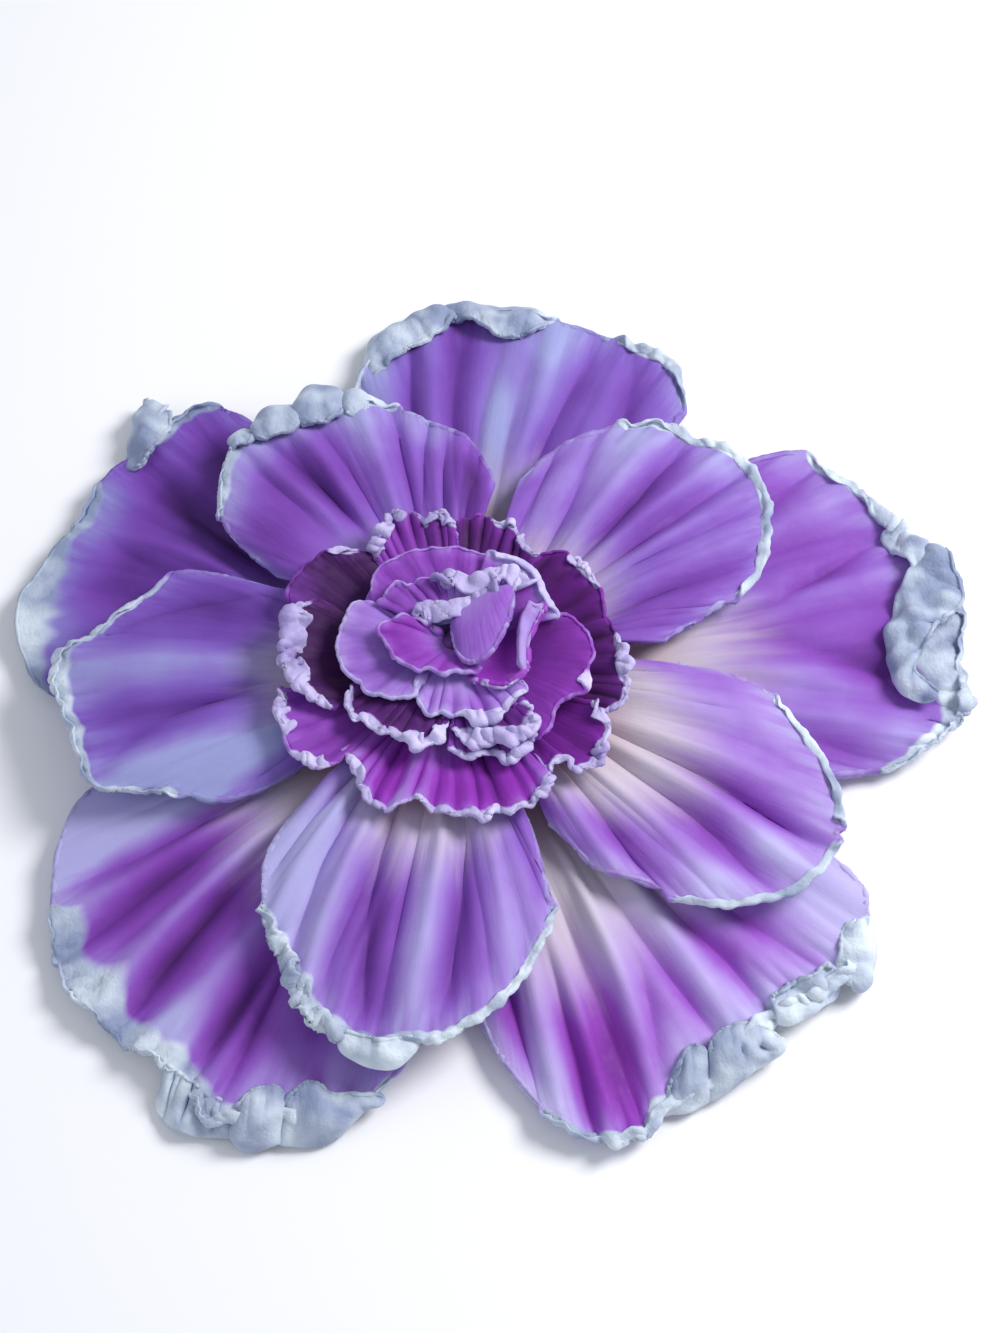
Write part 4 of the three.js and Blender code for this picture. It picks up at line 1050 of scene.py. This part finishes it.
ROLLS = [
    {
        "name": "top_folded_band", "node": "outer_petal_top",
        "foot": [
            [-13.8, 48.2, 2], [-13.1, 52.1, 1.8], [-11.6, 55.3, 1.8], [-9, 58.1, 1.8], [-5.7, 60.1, 1.8],
            [-2.6, 61.5, 1.8], [-0.3, 61.4, 2],
        ],
        "bulge": 1.2, "grey": 0.55,
        "edge": [
            [-11.8, 46.8, 3], [-10.6, 49.1, 3.8], [-8.9, 50.7, 4.1], [-6.3, 52.8, 4.2], [-3.6, 54.5, 4.2],
            [-1.6, 56.4, 4], [-0.1, 58.5, 3.2],
        ],
    },
    {
        "name": "top_soft_roll", "node": "outer_petal_top",
        "foot": [
            [-2.2, 60.7, 2], [-1.4, 61.4, 2], [0.3, 61.6, 2], [3, 61.5, 2], [5.8, 60.9, 2], [8.9, 61.2, 2],
            [11.2, 60.3, 2], [12.4, 59, 2.2],
        ],
        "bulge": 1.1, "grey": 0.65,
        "edge": [
            [-1.8, 58.5, 3.2], [0.3, 58.1, 3.6], [2.1, 57.2, 3.8], [4, 55.7, 4], [5.8, 54.7, 4.2],
            [8.3, 54.5, 4.2], [10.6, 55.4, 4], [12.1, 57, 3.4],
        ],
    },
    {
        "name": "upper_left_roll_first", "node": "inner_petal_upper_left",
        "foot": [
            [-21.1, 38.4, 7.4], [-21.2, 41.4, 7.4], [-20.1, 43.5, 7.4], [-18.1, 44.1, 7.4],
            [-16.2, 43.1, 7.4], [-15.1, 41.2, 7.6],
        ],
        "bulge": 1.9, "grey": 0.8,
        "edge": [
            [-20.3, 35.9, 9], [-19, 35.9, 9.6], [-17.7, 36.3, 9.8], [-16.3, 36.9, 9.8], [-15, 38.3, 9.2],
        ],
    },
    {
        "name": "upper_left_roll_second", "node": "inner_petal_upper_left",
        "foot": [
            [-27, 36.8, 7.4], [-26, 38.9, 7.4], [-24.2, 40.2, 7.4], [-22.2, 40.4, 7.4], [-20.8, 39.3, 7.6],
        ],
        "bulge": 1.4, "grey": 0.8,
        "edge": [
            [-26.3, 34.1, 8.8], [-24.7, 34.3, 9.2], [-23.2, 34.8, 9.4], [-21.6, 35.4, 9.4],
            [-20.5, 36.4, 9.2],
        ],
    },
    {
        "name": "upper_left_roll_third", "node": "inner_petal_upper_left",
        "foot": [[-15.2, 40.9, 7.6], [-14.4, 42.6, 7.5], [-13, 43.1, 7.5], [-11.8, 41.9, 7.5]],
        "bulge": 1.1, "grey": 0.7,
        "edge": [[-14.9, 38.5, 8.9], [-13.8, 37.8, 9.2], [-12.6, 38, 9.2], [-11.5, 39.1, 8.9]],
    },
    {
        "name": "upper_left_roll_fourth", "node": "inner_petal_upper_left",
        "foot": [[-30.2, 34.7, 7.4], [-29.2, 36.3, 7.4], [-27.9, 37, 7.4], [-26.7, 36.6, 7.5]],
        "bulge": 0.9, "grey": 0.6,
        "edge": [[-29.5, 32.6, 8.6], [-28.4, 33, 8.8], [-27.2, 33.4, 8.8], [-26.3, 34.2, 8.8]],
    },
    {
        "name": "left_rolled_tip", "node": "outer_petal_left",
        "foot": [
            [-44.2, 33.8, 2], [-44.1, 37.5, 1.8], [-43.8, 40.8, 1.8], [-43.2, 43.7, 1.8], [-41.5, 45.1, 2],
        ],
        "bulge": 1.3, "crumpling": 0.5, "grey": 0.8,
        "edge": [
            [-42.1, 33.2, 3.3], [-40.1, 35.5, 4], [-38.9, 38.1, 4.2], [-38.4, 41, 4], [-39, 43.2, 3.4],
        ],
    },
    {
        "name": "left_wisp", "node": "outer_petal_left",
        "foot": [[-40.3, 41.9, 3.4], [-39.5, 42.7, 3.4], [-38.9, 43.7, 3.2]], "bulge": 0.3,
        "crumpling": 0.4,
        "edge": [[-42.8, 44.3, 2.6], [-42.7, 45.2, 2.8], [-41.9, 45.5, 2.8]],
    },
    {
        "name": "right_curled_flap", "node": "outer_petal_right",
        "foot": [
            [60.4, -2.1, 4.2], [59.1, -2.8, 4.2], [57.3, -2.2, 4.3], [55.8, -0.6, 4.4], [54.9, 2.3, 4.4],
            [54.8, 6.4, 4.4], [55.8, 10.5, 4.4], [57.3, 14.3, 4.5], [59, 17.9, 4.5], [60.2, 21, 4.2],
        ],
        "cup": FLAP_CUP, "pleats": [3.4, 0.8, 0], "bulge": 0.4, "sway": 1.1, "edge_make": HEM, "grey": 0.7,
        "edge": [
            [60.9, -1.2, 4.6], [59.7, -0.3, 5], [58.1, 1.3, 5.6], [58.4, 3, 6.2], [59.8, 5.2, 6.4],
            [61.5, 7.6, 6.4], [63.5, 9.6, 6.3], [65.2, 11.7, 6], [65, 15.4, 5.8], [63.4, 19.4, 5.2],
        ],
    },
    {
        "name": "lower_right_end_roll", "node": "outer_petal_lower_right",
        "foot": [
            [50.1, -30.3, 1.6], [50.8, -32.3, 1.4], [50.9, -34.9, 1.3], [50.4, -37.5, 1.3],
            [49.7, -39.7, 1.3], [48.2, -40.6, 1.3],
        ],
        "bulge": 1.8, "dents": [[0.62, 0.5, 0.08, 0.5, 0.7]],
        "edge": [
            [48.2, -32.3, 3], [46.6, -33.5, 3.4], [46, -35.5, 3.6], [46, -37.5, 3.6], [46.2, -39.1, 3.4],
            [46.8, -40.7, 3],
        ],
    },
    {
        "name": "lower_right_crumpled_roll", "node": "outer_petal_lower_right",
        "foot": [
            [46.4, -40.7, 2.6], [45.2, -42.2, 2.2], [43.2, -43.2, 2], [41.2, -44.5, 2], [39.7, -45.1, 2],
            [38.3, -45.3, 2.4],
        ],
        "bulge": 0.7, "crumpling": 0.9,
        "edge": [
            [46, -39, 3.6], [44.7, -37.8, 4], [43.1, -39.2, 4.2], [41.2, -39.8, 4.2], [39.4, -40.7, 4.2],
            [37.6, -42, 4],
        ],
    },
    {
        "name": "lower_right_broad_roll", "node": "outer_petal_lower_right",
        "foot": [
            [39.1, -47.5, 1.6], [37.5, -49.3, 1.4], [35.4, -50.5, 1.4], [33.7, -51.9, 1.4],
            [31.6, -53.5, 1.3], [29.7, -54.6, 1.3],
        ],
        "bulge": 2.6, "dents": [[0.32, 0.5, 0.09, 0.12, 1.6], [0.6, 0.55, 0.05, 0.12, 0.9]],
        "edge": [
            [38.5, -46.7, 3], [37, -46.2, 3.8], [35.2, -45.6, 4.2], [33.3, -45.8, 4.2], [31.5, -46.5, 4.2],
            [29.9, -48, 4],
        ],
    },
    {
        "name": "lower_right_last_roll", "node": "outer_petal_lower_right",
        "foot": [
            [30.4, -54.3, 1.3], [29, -55, 1.3], [27.6, -55.7, 1.2], [25.7, -55.8, 1.2], [24.3, -56.2, 1.2],
        ],
        "bulge": 1.9, "grey": 0.6,
        "edge": [
            [29.8, -48.6, 4], [28.5, -48.3, 4], [27.2, -49, 3.8], [26.4, -50.7, 3.6], [25.2, -53.4, 3],
        ],
    },
    {
        "name": "lower_left_crinkled_fold", "node": "outer_petal_lower_left",
        "foot": [
            [-24.8, -58.6, 1.1], [-26.6, -58.7, 0.9], [-28.6, -58.7, 0.9], [-30.8, -58.2, 0.9],
            [-32.7, -57.4, 1], [-34.2, -55.9, 1.1], [-34.7, -54.2, 1.3],
        ],
        "pleats": [1.3, 0.7, 0], "bulge": 0.7, "crumpling": 0.5, "grey": 0.55,
        "edge": [
            [-25.1, -56.4, 3.2], [-26.4, -55.1, 3.5], [-28, -54.1, 3.5], [-29.5, -53.1, 3.5],
            [-30.7, -51.9, 3.3], [-31.9, -50.7, 3.1], [-32.8, -49.8, 2.8],
        ],
    },
    {
        "name": "lower_left_first_fold", "node": "outer_petal_lower_left",
        "foot": [
            [-19.6, -59.5, 1], [-21, -59.7, 0.8], [-22.4, -60.1, 0.7], [-23.7, -60.2, 0.7],
            [-24.7, -59.6, 0.9], [-25.6, -58, 1.3],
        ],
        "bulge": 2.2, "grey": 0.7,
        "edge": [
            [-19.2, -53.9, 3.4], [-20.3, -53.3, 3.8], [-22, -53.5, 3.8], [-23.4, -53.9, 3.8],
            [-24.3, -55, 3.6], [-25.2, -56.6, 3],
        ],
    },
    {
        "name": "lower_left_second_fold", "node": "outer_petal_lower_left",
        "foot": [
            [-7.9, -53.8, 1.6], [-10, -55.2, 1.2], [-11.8, -56.8, 1], [-13.3, -58.6, 0.8],
            [-15.5, -59.5, 0.7], [-17.8, -59.6, 0.7], [-20, -59.6, 0.9],
        ],
        "bulge": 2.3, "grey": 0.75,
        "edge": [
            [-8.1, -53.6, 2.6], [-11.1, -54, 3.2], [-13.2, -54.3, 3.4], [-14.4, -53.9, 3.6],
            [-15.4, -53, 3.8], [-16.7, -52.7, 3.8], [-18.2, -53.6, 3.8], [-19.5, -55.5, 3.4],
        ],
    },
    {
        "name": "bottom_flap", "node": "inner_petal_bottom",
        "foot": [
            [-4.1, -49.2, 6.8], [-5.1, -51.2, 6.5], [-6.9, -52.2, 6.4], [-9.4, -52.1, 6.4],
            [-11.6, -50.9, 6.6], [-13.1, -49.4, 6.9],
        ],
        "bulge": 0.9, "grey": -0.3,
        "edge": [
            [-4.4, -48.8, 8.2], [-6.1, -49.5, 8.8], [-8.2, -49.6, 9], [-10.3, -49, 8.8],
            [-12.2, -48.2, 8.4],
        ],
    },
]

PLAIN_ROLL = {
    "slot": "petal", "cup": STRAIGHT_CUP, "pleats": [2.6, 0.35, 0.1], "edge_make": TUCKED,
    "sway": 0.7, "crumpling": 0.2, "bare": 1, "grey": 0.45,
}


def make_roll(roll, seed):
    roll = {**PLAIN_ROLL, **roll}
    edge = [[*point, roll["edge_make"]] for point in roll["edge"]]
    return make_lobe({}, {**roll, "edge": edge, "sway": roll["sway"] + roll["crumpling"]}, seed)


# ---- Receptacle ------------------------------------------------------------------------------------

# The core's outline, as [radius, height] from the middle of its foot up to its tip.
CORE = [
    [0, 0], [3, 0], [5.7, 0], [6.1, 0.15], [6.3, 0.6], [6.55, 2], [6.7, 5], [6.65, 8], [6.3, 8.5], [5, 8.6],
    [4.2, 8.9], [4, 9.6], [4, 11], [3.7, 11.5], [2.6, 11.7], [1.8, 12.2], [1.6, 13.4], [1.5, 14.8],
    [1.1, 15.6], [0.5, 15.8], [0, 15.8],
]
CORE_SIDES = 96
CORE_ROWS = 90
CORE_RIBS = 10  # one to a petal


def make_core():
    """The core that every petal grows from, drawn in a little between their claws."""
    share = np.linspace(0, 1, CORE_ROWS)
    radius = np.maximum(along([point[0] for point in CORE], share), 0)
    height = np.maximum(along([point[1] for point in CORE], share), 0)
    turn = np.linspace(0, 2 * math.pi, CORE_SIDES, endpoint=False)
    circle = np.stack([np.cos(turn), np.sin(turn), 0 * turn], -1)
    points = circle[:, None] * radius[None, :, None]
    points[..., 2] = height
    off_axis = eased(radius, 3, 6)[None, :]
    ribs = 0.12 * np.cos(CORE_RIBS * turn)[:, None] * off_axis
    creases = 0.18 * lumps(points, 1.3, CORE_SEED) * eased(radius, 0.2, 1.5)[None, :]
    creases = creases * eased(height, 0.1, 1)[None, :]
    points = points + circle[:, None] * (ribs + creases - 0.15 * off_axis)[..., None]

    rings = np.arange(CORE_SIDES * CORE_ROWS).reshape(CORE_SIDES, CORE_ROWS)[:, 1:-1]
    after = np.roll(rings, -1, 0)
    faces = np.stack([rings[:, :-1], after[:, :-1], after[:, 1:], rings[:, 1:]], -1).reshape(-1, 4).tolist()
    faces.append(rings[::-1, 0].tolist())
    faces.append(rings[:, -1].tolist())
    made = mesh_object("receptacle_core", points.reshape(-1, 3), faces)
    made.data.shade_smooth()
    made.data.validate()
    belongs(made, "receptacle")
    return made


# ---- Materials -------------------------------------------------------------------------------------


def tint(red, green, blue):
    """A colour for a shader socket, from display values of 0 to 255."""
    light = [((c / 255 + 0.055) / 1.055) ** 2.4 if c > 10 else c / 3294.6 for c in (red, green, blue)]
    return (*light, 1)


CREAM = tint(206, 196, 206)
# Painted warm shade where the petals' claws crowd together.
WARM_CLAW_SHADE = tint(214, 152, 146)
# Bare foam: its own light colour, and the painted shade laid into its mottles and creases; the lilac pair is
# the rosette's.
FOAM_WHITE = tint(220, 231, 240)
FOAM_PAINTED_SHADE = tint(142, 154, 184)
LILAC_WHITE = tint(214, 205, 245)
LILAC_PAINTED_SHADE = tint(160, 146, 200)
BLUE_AND_SHADE_TINT = tint(168, 202, 220)  # laid over the dye, to turn it blue and darker; on the left-hand petals this is painted shade
WARMER = tint(252, 136, 232)  # laid over the dye, to turn it magenta
CORE_DARK = tint(62, 20, 78)
CORE_LIGHT = tint(112, 66, 138)
FLOOR_DARK = tint(250, 250, 252)
FLOOR_LIGHT = tint(253, 253, 254)

# The dye from its thinnest to its strongest; its darkest stops colour the insides of the collar's lobes,
# where they are painted shade as well as dye.
DYES = [
    (0.0, tint(192, 181, 229)), (0.2, tint(175, 141, 215)), (0.38, tint(152, 108, 201)),
    (0.56, tint(134, 81, 180)), (0.74, tint(106, 55, 147)), (1.0, tint(60, 12, 80)),
]

FLOAT, COLOUR = "NodeSocketFloat", "NodeSocketColor"


class Nodes:
    """Places and links the nodes of one node tree."""

    def __init__(self, tree):
        self.tree = tree

    def add(self, kind, settings=(), **sockets):
        node = self.tree.nodes.new(kind)
        for name, value in dict(settings).items():
            setattr(node, name, value)
        for name, value in sockets.items():
            self.put(node, name.replace("_", " "), value)
        return node

    def put(self, node, socket, value):
        target = node.inputs[socket]
        if isinstance(value, bpy.types.NodeSocket):
            self.tree.links.new(value, target)
        else:
            target.default_value = value

    def reckon(self, kind, first, second, clamp=False):
        node = self.add("ShaderNodeMath", {"operation": kind, "use_clamp": clamp})
        self.put(node, 0, first)
        self.put(node, 1, second)
        return node.outputs[0]

    def plus(self, first, second, clamp=False):
        return self.reckon("ADD", first, second, clamp)

    def minus(self, first, second):
        return self.reckon("SUBTRACT", first, second)

    def times(self, first, second):
        return self.reckon("MULTIPLY", first, second)

    def swing(self, value, amount):
        """A noise of 0 to 1 turned into one about zero, and this strong."""
        return self.times(self.minus(value, 0.5), amount)

    def map(self, value, low, high, to_low=0.0, to_high=1.0):
        node = self.add("ShaderNodeMapRange", {"interpolation_type": "SMOOTHSTEP"})
        for socket, number in enumerate((value, low, high, to_low, to_high)):
            self.put(node, socket, number)
        return node.outputs[0]

    def blend(self, share, first, second, kind="MIX"):
        node = self.add("ShaderNodeMix", {"data_type": "RGBA", "blend_type": kind})
        self.put(node, 0, share)
        self.put(node, 6, first)
        self.put(node, 7, second)
        return node.outputs[2]

    def noise(self, place, scale, detail, roughness):
        settings = {"noise_dimensions": "3D"}
        sockets = {"Vector": place, "Scale": scale, "Detail": detail, "Roughness": roughness}
        return self.add("ShaderNodeTexNoise", settings, **sockets).outputs[0]

    def attribute(self, name):
        settings = {"attribute_type": "GEOMETRY", "attribute_name": name}
        return self.add("ShaderNodeAttribute", settings).outputs["Fac"]

    def place(self):
        return self.add("ShaderNodeTexCoord").outputs["Object"]


def new_group(name, inputs, outputs):
    tree = bpy.data.node_groups.new(name, "ShaderNodeTree")
    for socket, kind in inputs:
        tree.interface.new_socket(socket, in_out="INPUT", socket_type=kind)
    for socket, kind in outputs:
        tree.interface.new_socket(socket, in_out="OUTPUT", socket_type=kind)
    return tree, Nodes(tree), tree.nodes.new("NodeGroupInput").outputs, tree.nodes.new("NodeGroupOutput")


def petal_dye_group():
    """Dye brushed from a cream claw out to a violet middle, deeper in the folds, and a bare foam rim.

    With it goes painted shade: warm at the claw, in the folds' hollows and the bare rim's mottles and
    creases, and bluer and darker by Blue.
    """
    tree, n, asked, leave = new_group(
        "petal dye",
        [
            ("Cream Reach", FLOAT), ("Depth", FLOAT), ("Blue", FLOAT), ("Magenta", FLOAT),
            ("Fold Contrast", FLOAT), ("Foot Depth", FLOAT), ("Rim Fade", FLOAT), ("Grey", FLOAT),
            ("Foam Light", COLOUR), ("Foam Shade", COLOUR),
        ],
        [("Color", COLOUR), ("Bare", FLOAT)],
    )
    share = n.attribute("share")
    hollow = n.attribute("hollow")
    deep = n.attribute("deep")
    lie = n.add("ShaderNodeCombineXYZ", X=n.times(n.attribute("across"), 0.5), Y=n.times(share, 3.0))
    streak = n.noise(lie.outputs[0], 1.0, 3.0, 0.5)
    place = n.place()
    blotch = n.noise(place, 90.0, 3.0, 0.55)

    depth = n.times(n.map(share, 0.1, 0.6, asked["Foot Depth"]), asked["Depth"])
    # Deeper in the folds' hollows: partly dye gathered there, partly painted shade.
    depth = n.plus(depth, n.times(hollow, asked["Fold Contrast"]))
    depth = n.plus(depth, n.swing(streak, 0.2))
    depth = n.plus(depth, n.swing(blotch, 0.5))
    # Brushed-on washes: some deep ones are painted shade, some pale ones painted highlights.
    depth = n.plus(depth, deep)
    depth = n.minus(depth, n.attribute("pale"))
    rim_fade = n.times(n.map(share, 0.78, 1.02), n.map(streak, 0.3, 0.7, 0.08, 0.48))
    depth = n.minus(depth, n.times(rim_fade, asked["Rim Fade"]))
    depth = n.minus(depth, n.times(n.attribute("underside"), 0.25))

    ramp = n.add("ShaderNodeValToRGB", Fac=n.times(depth, 0.7))
    while len(ramp.color_ramp.elements) < len(DYES):
        ramp.color_ramp.elements.new(0.5)
    for element, (position, colour) in zip(ramp.color_ramp.elements, DYES):
        element.position = position
        element.color = colour
    dyed = ramp.outputs[0]
    # Bluer and darker by Blue; on the left-hand petals this is painted shade.
    colour = n.blend(asked["Blue"], dyed, n.blend(1.0, dyed, BLUE_AND_SHADE_TINT, "MULTIPLY"))
    warmth = n.times(asked["Magenta"], n.map(depth, 0.25, 0.75))
    colour = n.blend(warmth, colour, n.blend(1.0, dyed, WARMER, "MULTIPLY"))

    cream_edge = n.plus(n.swing(streak, 0.18), asked["Cream Reach"])
    cream = n.minus(1.0, n.map(n.minus(share, cream_edge), -0.14, 0.2))
    # Near the claw the cream turns to a painted warm shade, where the petals' feet crowd together.
    claw = n.map(share, 0.1, 0.46, 0.6, 0.0)
    colour = n.blend(cream, colour, n.blend(claw, CREAM, WARM_CLAW_SHADE))

    bare = n.map(n.plus(n.attribute("white"), n.swing(blotch, 0.3)), 0.3, 0.75)
    # The bare foam's painted shade: random mottles, more by Grey, and more in the folds' hollows and deep
    # washes.
    grey = n.plus(asked["Grey"], n.swing(n.noise(place, 170.0, 2.0, 0.5), 2.6))
    grey = n.plus(grey, n.times(n.plus(hollow, deep), 0.5), clamp=True)
    colour = n.blend(bare, colour, n.blend(grey, asked["Foam Light"], asked["Foam Shade"]))
    n.put(leave, "Color", colour)
    n.put(leave, "Bare", bare)
    return tree


def foam_grain_group():
    """The fine, slightly creased skin of soft sheet foam, as a height. Bare foam is crumbled too."""
    tree, n, asked, leave = new_group(
        "foam grain", [("Crease", FLOAT), ("Bare", FLOAT)], [("Height", FLOAT), ("Roughness", FLOAT)]
    )
    place = n.place()
    grain = n.noise(place, 2600.0, 3.0, 0.6)
    skin = n.noise(place, 700.0, 4.0, 0.6)
    crumbs = n.noise(place, 1300.0, 3.0, 0.6)
    lie = n.add("ShaderNodeCombineXYZ", X=n.attribute("across"), Y=n.times(n.attribute("share"), 5.0))
    crease = n.noise(lie.outputs[0], 1.6, 3.0, 0.55)
    height = n.plus(n.times(grain, 0.25), n.times(skin, 0.6))
    height = n.plus(height, n.times(crease, asked["Crease"]))
    height = n.plus(height, n.times(n.times(crumbs, 3.0), asked["Bare"]))
    n.put(leave, "Height", height)
    n.put(leave, "Roughness", n.map(skin, 0.3, 0.7, 0.56, 0.72))
    return tree


GROUPS = {"petal dye": petal_dye_group(), "foam grain": foam_grain_group()}


def place_group(nodes, name, **values):
    return nodes.add("ShaderNodeGroup", {"node_tree": GROUPS[name]}, **values).outputs


def new_material(name):
    made = bpy.data.materials.new(name)
    made.use_nodes = True
    return made, Nodes(made.node_tree), made.node_tree.nodes["Principled BSDF"]


def give_grain(nodes, shader, strength, distance, **values):
    """Foam's grain on a shader, as a bump this strong and, in metres, this deep."""
    grain = place_group(nodes, "foam grain", **values)
    bump = nodes.add("ShaderNodeBump", Strength=strength, Distance=distance, Height=grain["Height"])
    nodes.put(shader, "Roughness", grain["Roughness"])
    nodes.put(shader, "Normal", bump.outputs[0])


PETAL_DYE = {"Foot_Depth": 0.0, "Rim_Fade": 1.0, "Foam_Light": FOAM_WHITE, "Foam_Shade": FOAM_PAINTED_SHADE}
LOBE_DYE = {
    "Cream_Reach": -0.5, "Fold_Contrast": 0.45, "Foot_Depth": 0.75,
    "Foam_Light": LILAC_WHITE, "Foam_Shade": LILAC_PAINTED_SHADE,
}
ROLL_DYE = {
    **PETAL_DYE, "Cream_Reach": -0.5, "Depth": 0.1, "Blue": 0.3, "Magenta": 0.0, "Fold_Contrast": 0.3,
}


def foam_material(name, **dyed):
    made, nodes, shader = new_material("dyed foam, " + name.replace("_", " "))
    dye = place_group(nodes, "petal dye", **dyed)
    nodes.put(shader, "Base Color", dye["Color"])
    give_grain(nodes, shader, 0.35, 0.0002, Crease=0.8, Bare=dye["Bare"])
    shader.inputs["Specular IOR Level"].default_value = 0.24
    shader.inputs["Subsurface Weight"].default_value = 0.12
    shader.inputs["Subsurface Radius"].default_value = (1.0, 0.7, 1.0)
    shader.inputs["Subsurface Scale"].default_value = 0.0012
    shader.inputs["Sheen Weight"].default_value = 0.05
    shader.inputs["Sheen Roughness"].default_value = 0.5
    return made


def core_material():
    made, nodes, shader = new_material("dyed foam, core")
    stain = nodes.map(nodes.noise(nodes.place(), 260.0, 3.0, 0.6), 0.35, 0.65)
    nodes.put(shader, "Base Color", nodes.blend(stain, CORE_DARK, CORE_LIGHT))
    give_grain(nodes, shader, 0.5, 0.0003, Crease=0.0)
    shader.inputs["Specular IOR Level"].default_value = 0.25
    return made


# ---- The bloom -------------------------------------------------------------------------------------

for number, petal in enumerate(PETALS):
    piece = make_petal(petal, PETAL_SEED + SEED_STEP * number)
    made = foam_material(
        petal["name"], **PETAL_DYE, Cream_Reach=petal["cream"], Depth=petal["depth"], Blue=petal["blue"],
        Magenta=petal["magenta"], Grey=petal["grey"], Fold_Contrast=petal["contrast"],
    )
    piece.data.materials.append(made)

for ruffle_number, ruffle in enumerate(RUFFLES):
    for number, lobe in enumerate(ruffle["lobes"]):
        piece = make_lobe(ruffle, lobe, LOBE_SEED + RUFFLE_SEED_STEP * ruffle_number + SEED_STEP * number)
        dye = {**PLAIN_LOBE, **lobe}
        made = foam_material(
            lobe["name"], **LOBE_DYE, Depth=dye["shade"], Blue=dye["blue"], Magenta=dye["magenta"],
            Rim_Fade=dye["fade"], Grey=dye["grey"],
        )
        piece.data.materials.append(made)

for number, roll in enumerate(ROLLS):
    piece = make_roll(roll, ROLL_SEED + SEED_STEP * number)
    made = foam_material(roll["name"], **ROLL_DYE, Grey=roll.get("grey", PLAIN_ROLL["grey"]))
    piece.data.materials.append(made)

make_core().data.materials.append(core_material())

# ---- Floor, light and camera -----------------------------------------------------------------------

FLOOR_HALF = 3000.0


def make_floor():
    corners = np.array([[-1, -1, 0], [1, -1, 0], [1, 1, 0], [-1, 1, 0]]) * FLOOR_HALF
    floor = mesh_object("floor", corners, [(0, 1, 2, 3)])
    made, nodes, shader = new_material("pale floor")
    mottle = nodes.noise(nodes.place(), 6.0, 2.0, 0.5)
    nodes.put(shader, "Base Color", nodes.blend(mottle, FLOOR_DARK, FLOOR_LIGHT))
    shader.inputs["Roughness"].default_value = 0.9
    shader.inputs["Specular IOR Level"].default_value = 0.1
    floor.data.materials.append(made)


def make_lamp(name, place, target, size, watts, colour):
    """A round lamp at a place in metres, turned to its target."""
    lamp = bpy.data.lights.new(name, "AREA")
    lamp.shape = "DISK"
    lamp.size = size
    lamp.energy = watts
    lamp.color = colour
    holder = bpy.data.objects.new(name, lamp)
    holder.location = place
    holder.rotation_mode = "QUATERNION"
    holder.rotation_quaternion = (Vector(target) - Vector(place)).to_track_quat("-Z", "Y")
    bpy.context.scene.collection.objects.link(holder)


def make_light():
    make_lamp(
        "window light", place=(0.33, 0.10, 0.34), target=(0.01, 0, 0), size=0.22, watts=2.15,
        colour=(1.0, 0.985, 1.0),
    )
    make_lamp(
        "cool fill", place=(-0.55, -0.25, 0.45), target=(0, 0, 0), size=0.60, watts=0.9,
        colour=(0.76, 0.84, 1.0),
    )
    world = bpy.data.worlds.new("studio")
    bpy.context.scene.world = world
    world.use_nodes = True
    backdrop = world.node_tree.nodes["Background"]
    backdrop.inputs["Color"].default_value = (0.88, 0.92, 1.0, 1)
    backdrop.inputs["Strength"].default_value = 0.46


ELEVATION = 60.0  # of the line of sight, in degrees above the floor
VIEW_DISTANCE = 330.0
VIEW_TARGET = (5.6, 0.4, 8.0)
PHOTO_HEIGHT = 1333  # pixels
PIXELS_PER_MM = 8.0  # at the target
FILM = 36.0  # the camera's film along its long side, in mm


def make_camera():
    camera = bpy.data.cameras.new("camera")
    camera.sensor_width = FILM
    camera.lens = PIXELS_PER_MM * VIEW_DISTANCE * FILM / PHOTO_HEIGHT
    camera.clip_start = 0.01
    camera.clip_end = 10
    holder = bpy.data.objects.new("camera", camera)
    tilt = math.radians(ELEVATION)
    back = Vector((0, -math.cos(tilt), math.sin(tilt)))
    holder.location = (Vector(VIEW_TARGET) + back * VIEW_DISTANCE) * METRES
    holder.rotation_euler = (math.pi / 2 - tilt, 0, 0)
    bpy.context.scene.collection.objects.link(holder)
    bpy.context.scene.camera = holder


make_floor()
make_light()
make_camera()
bpy.context.scene.view_settings.view_transform = "Standard"
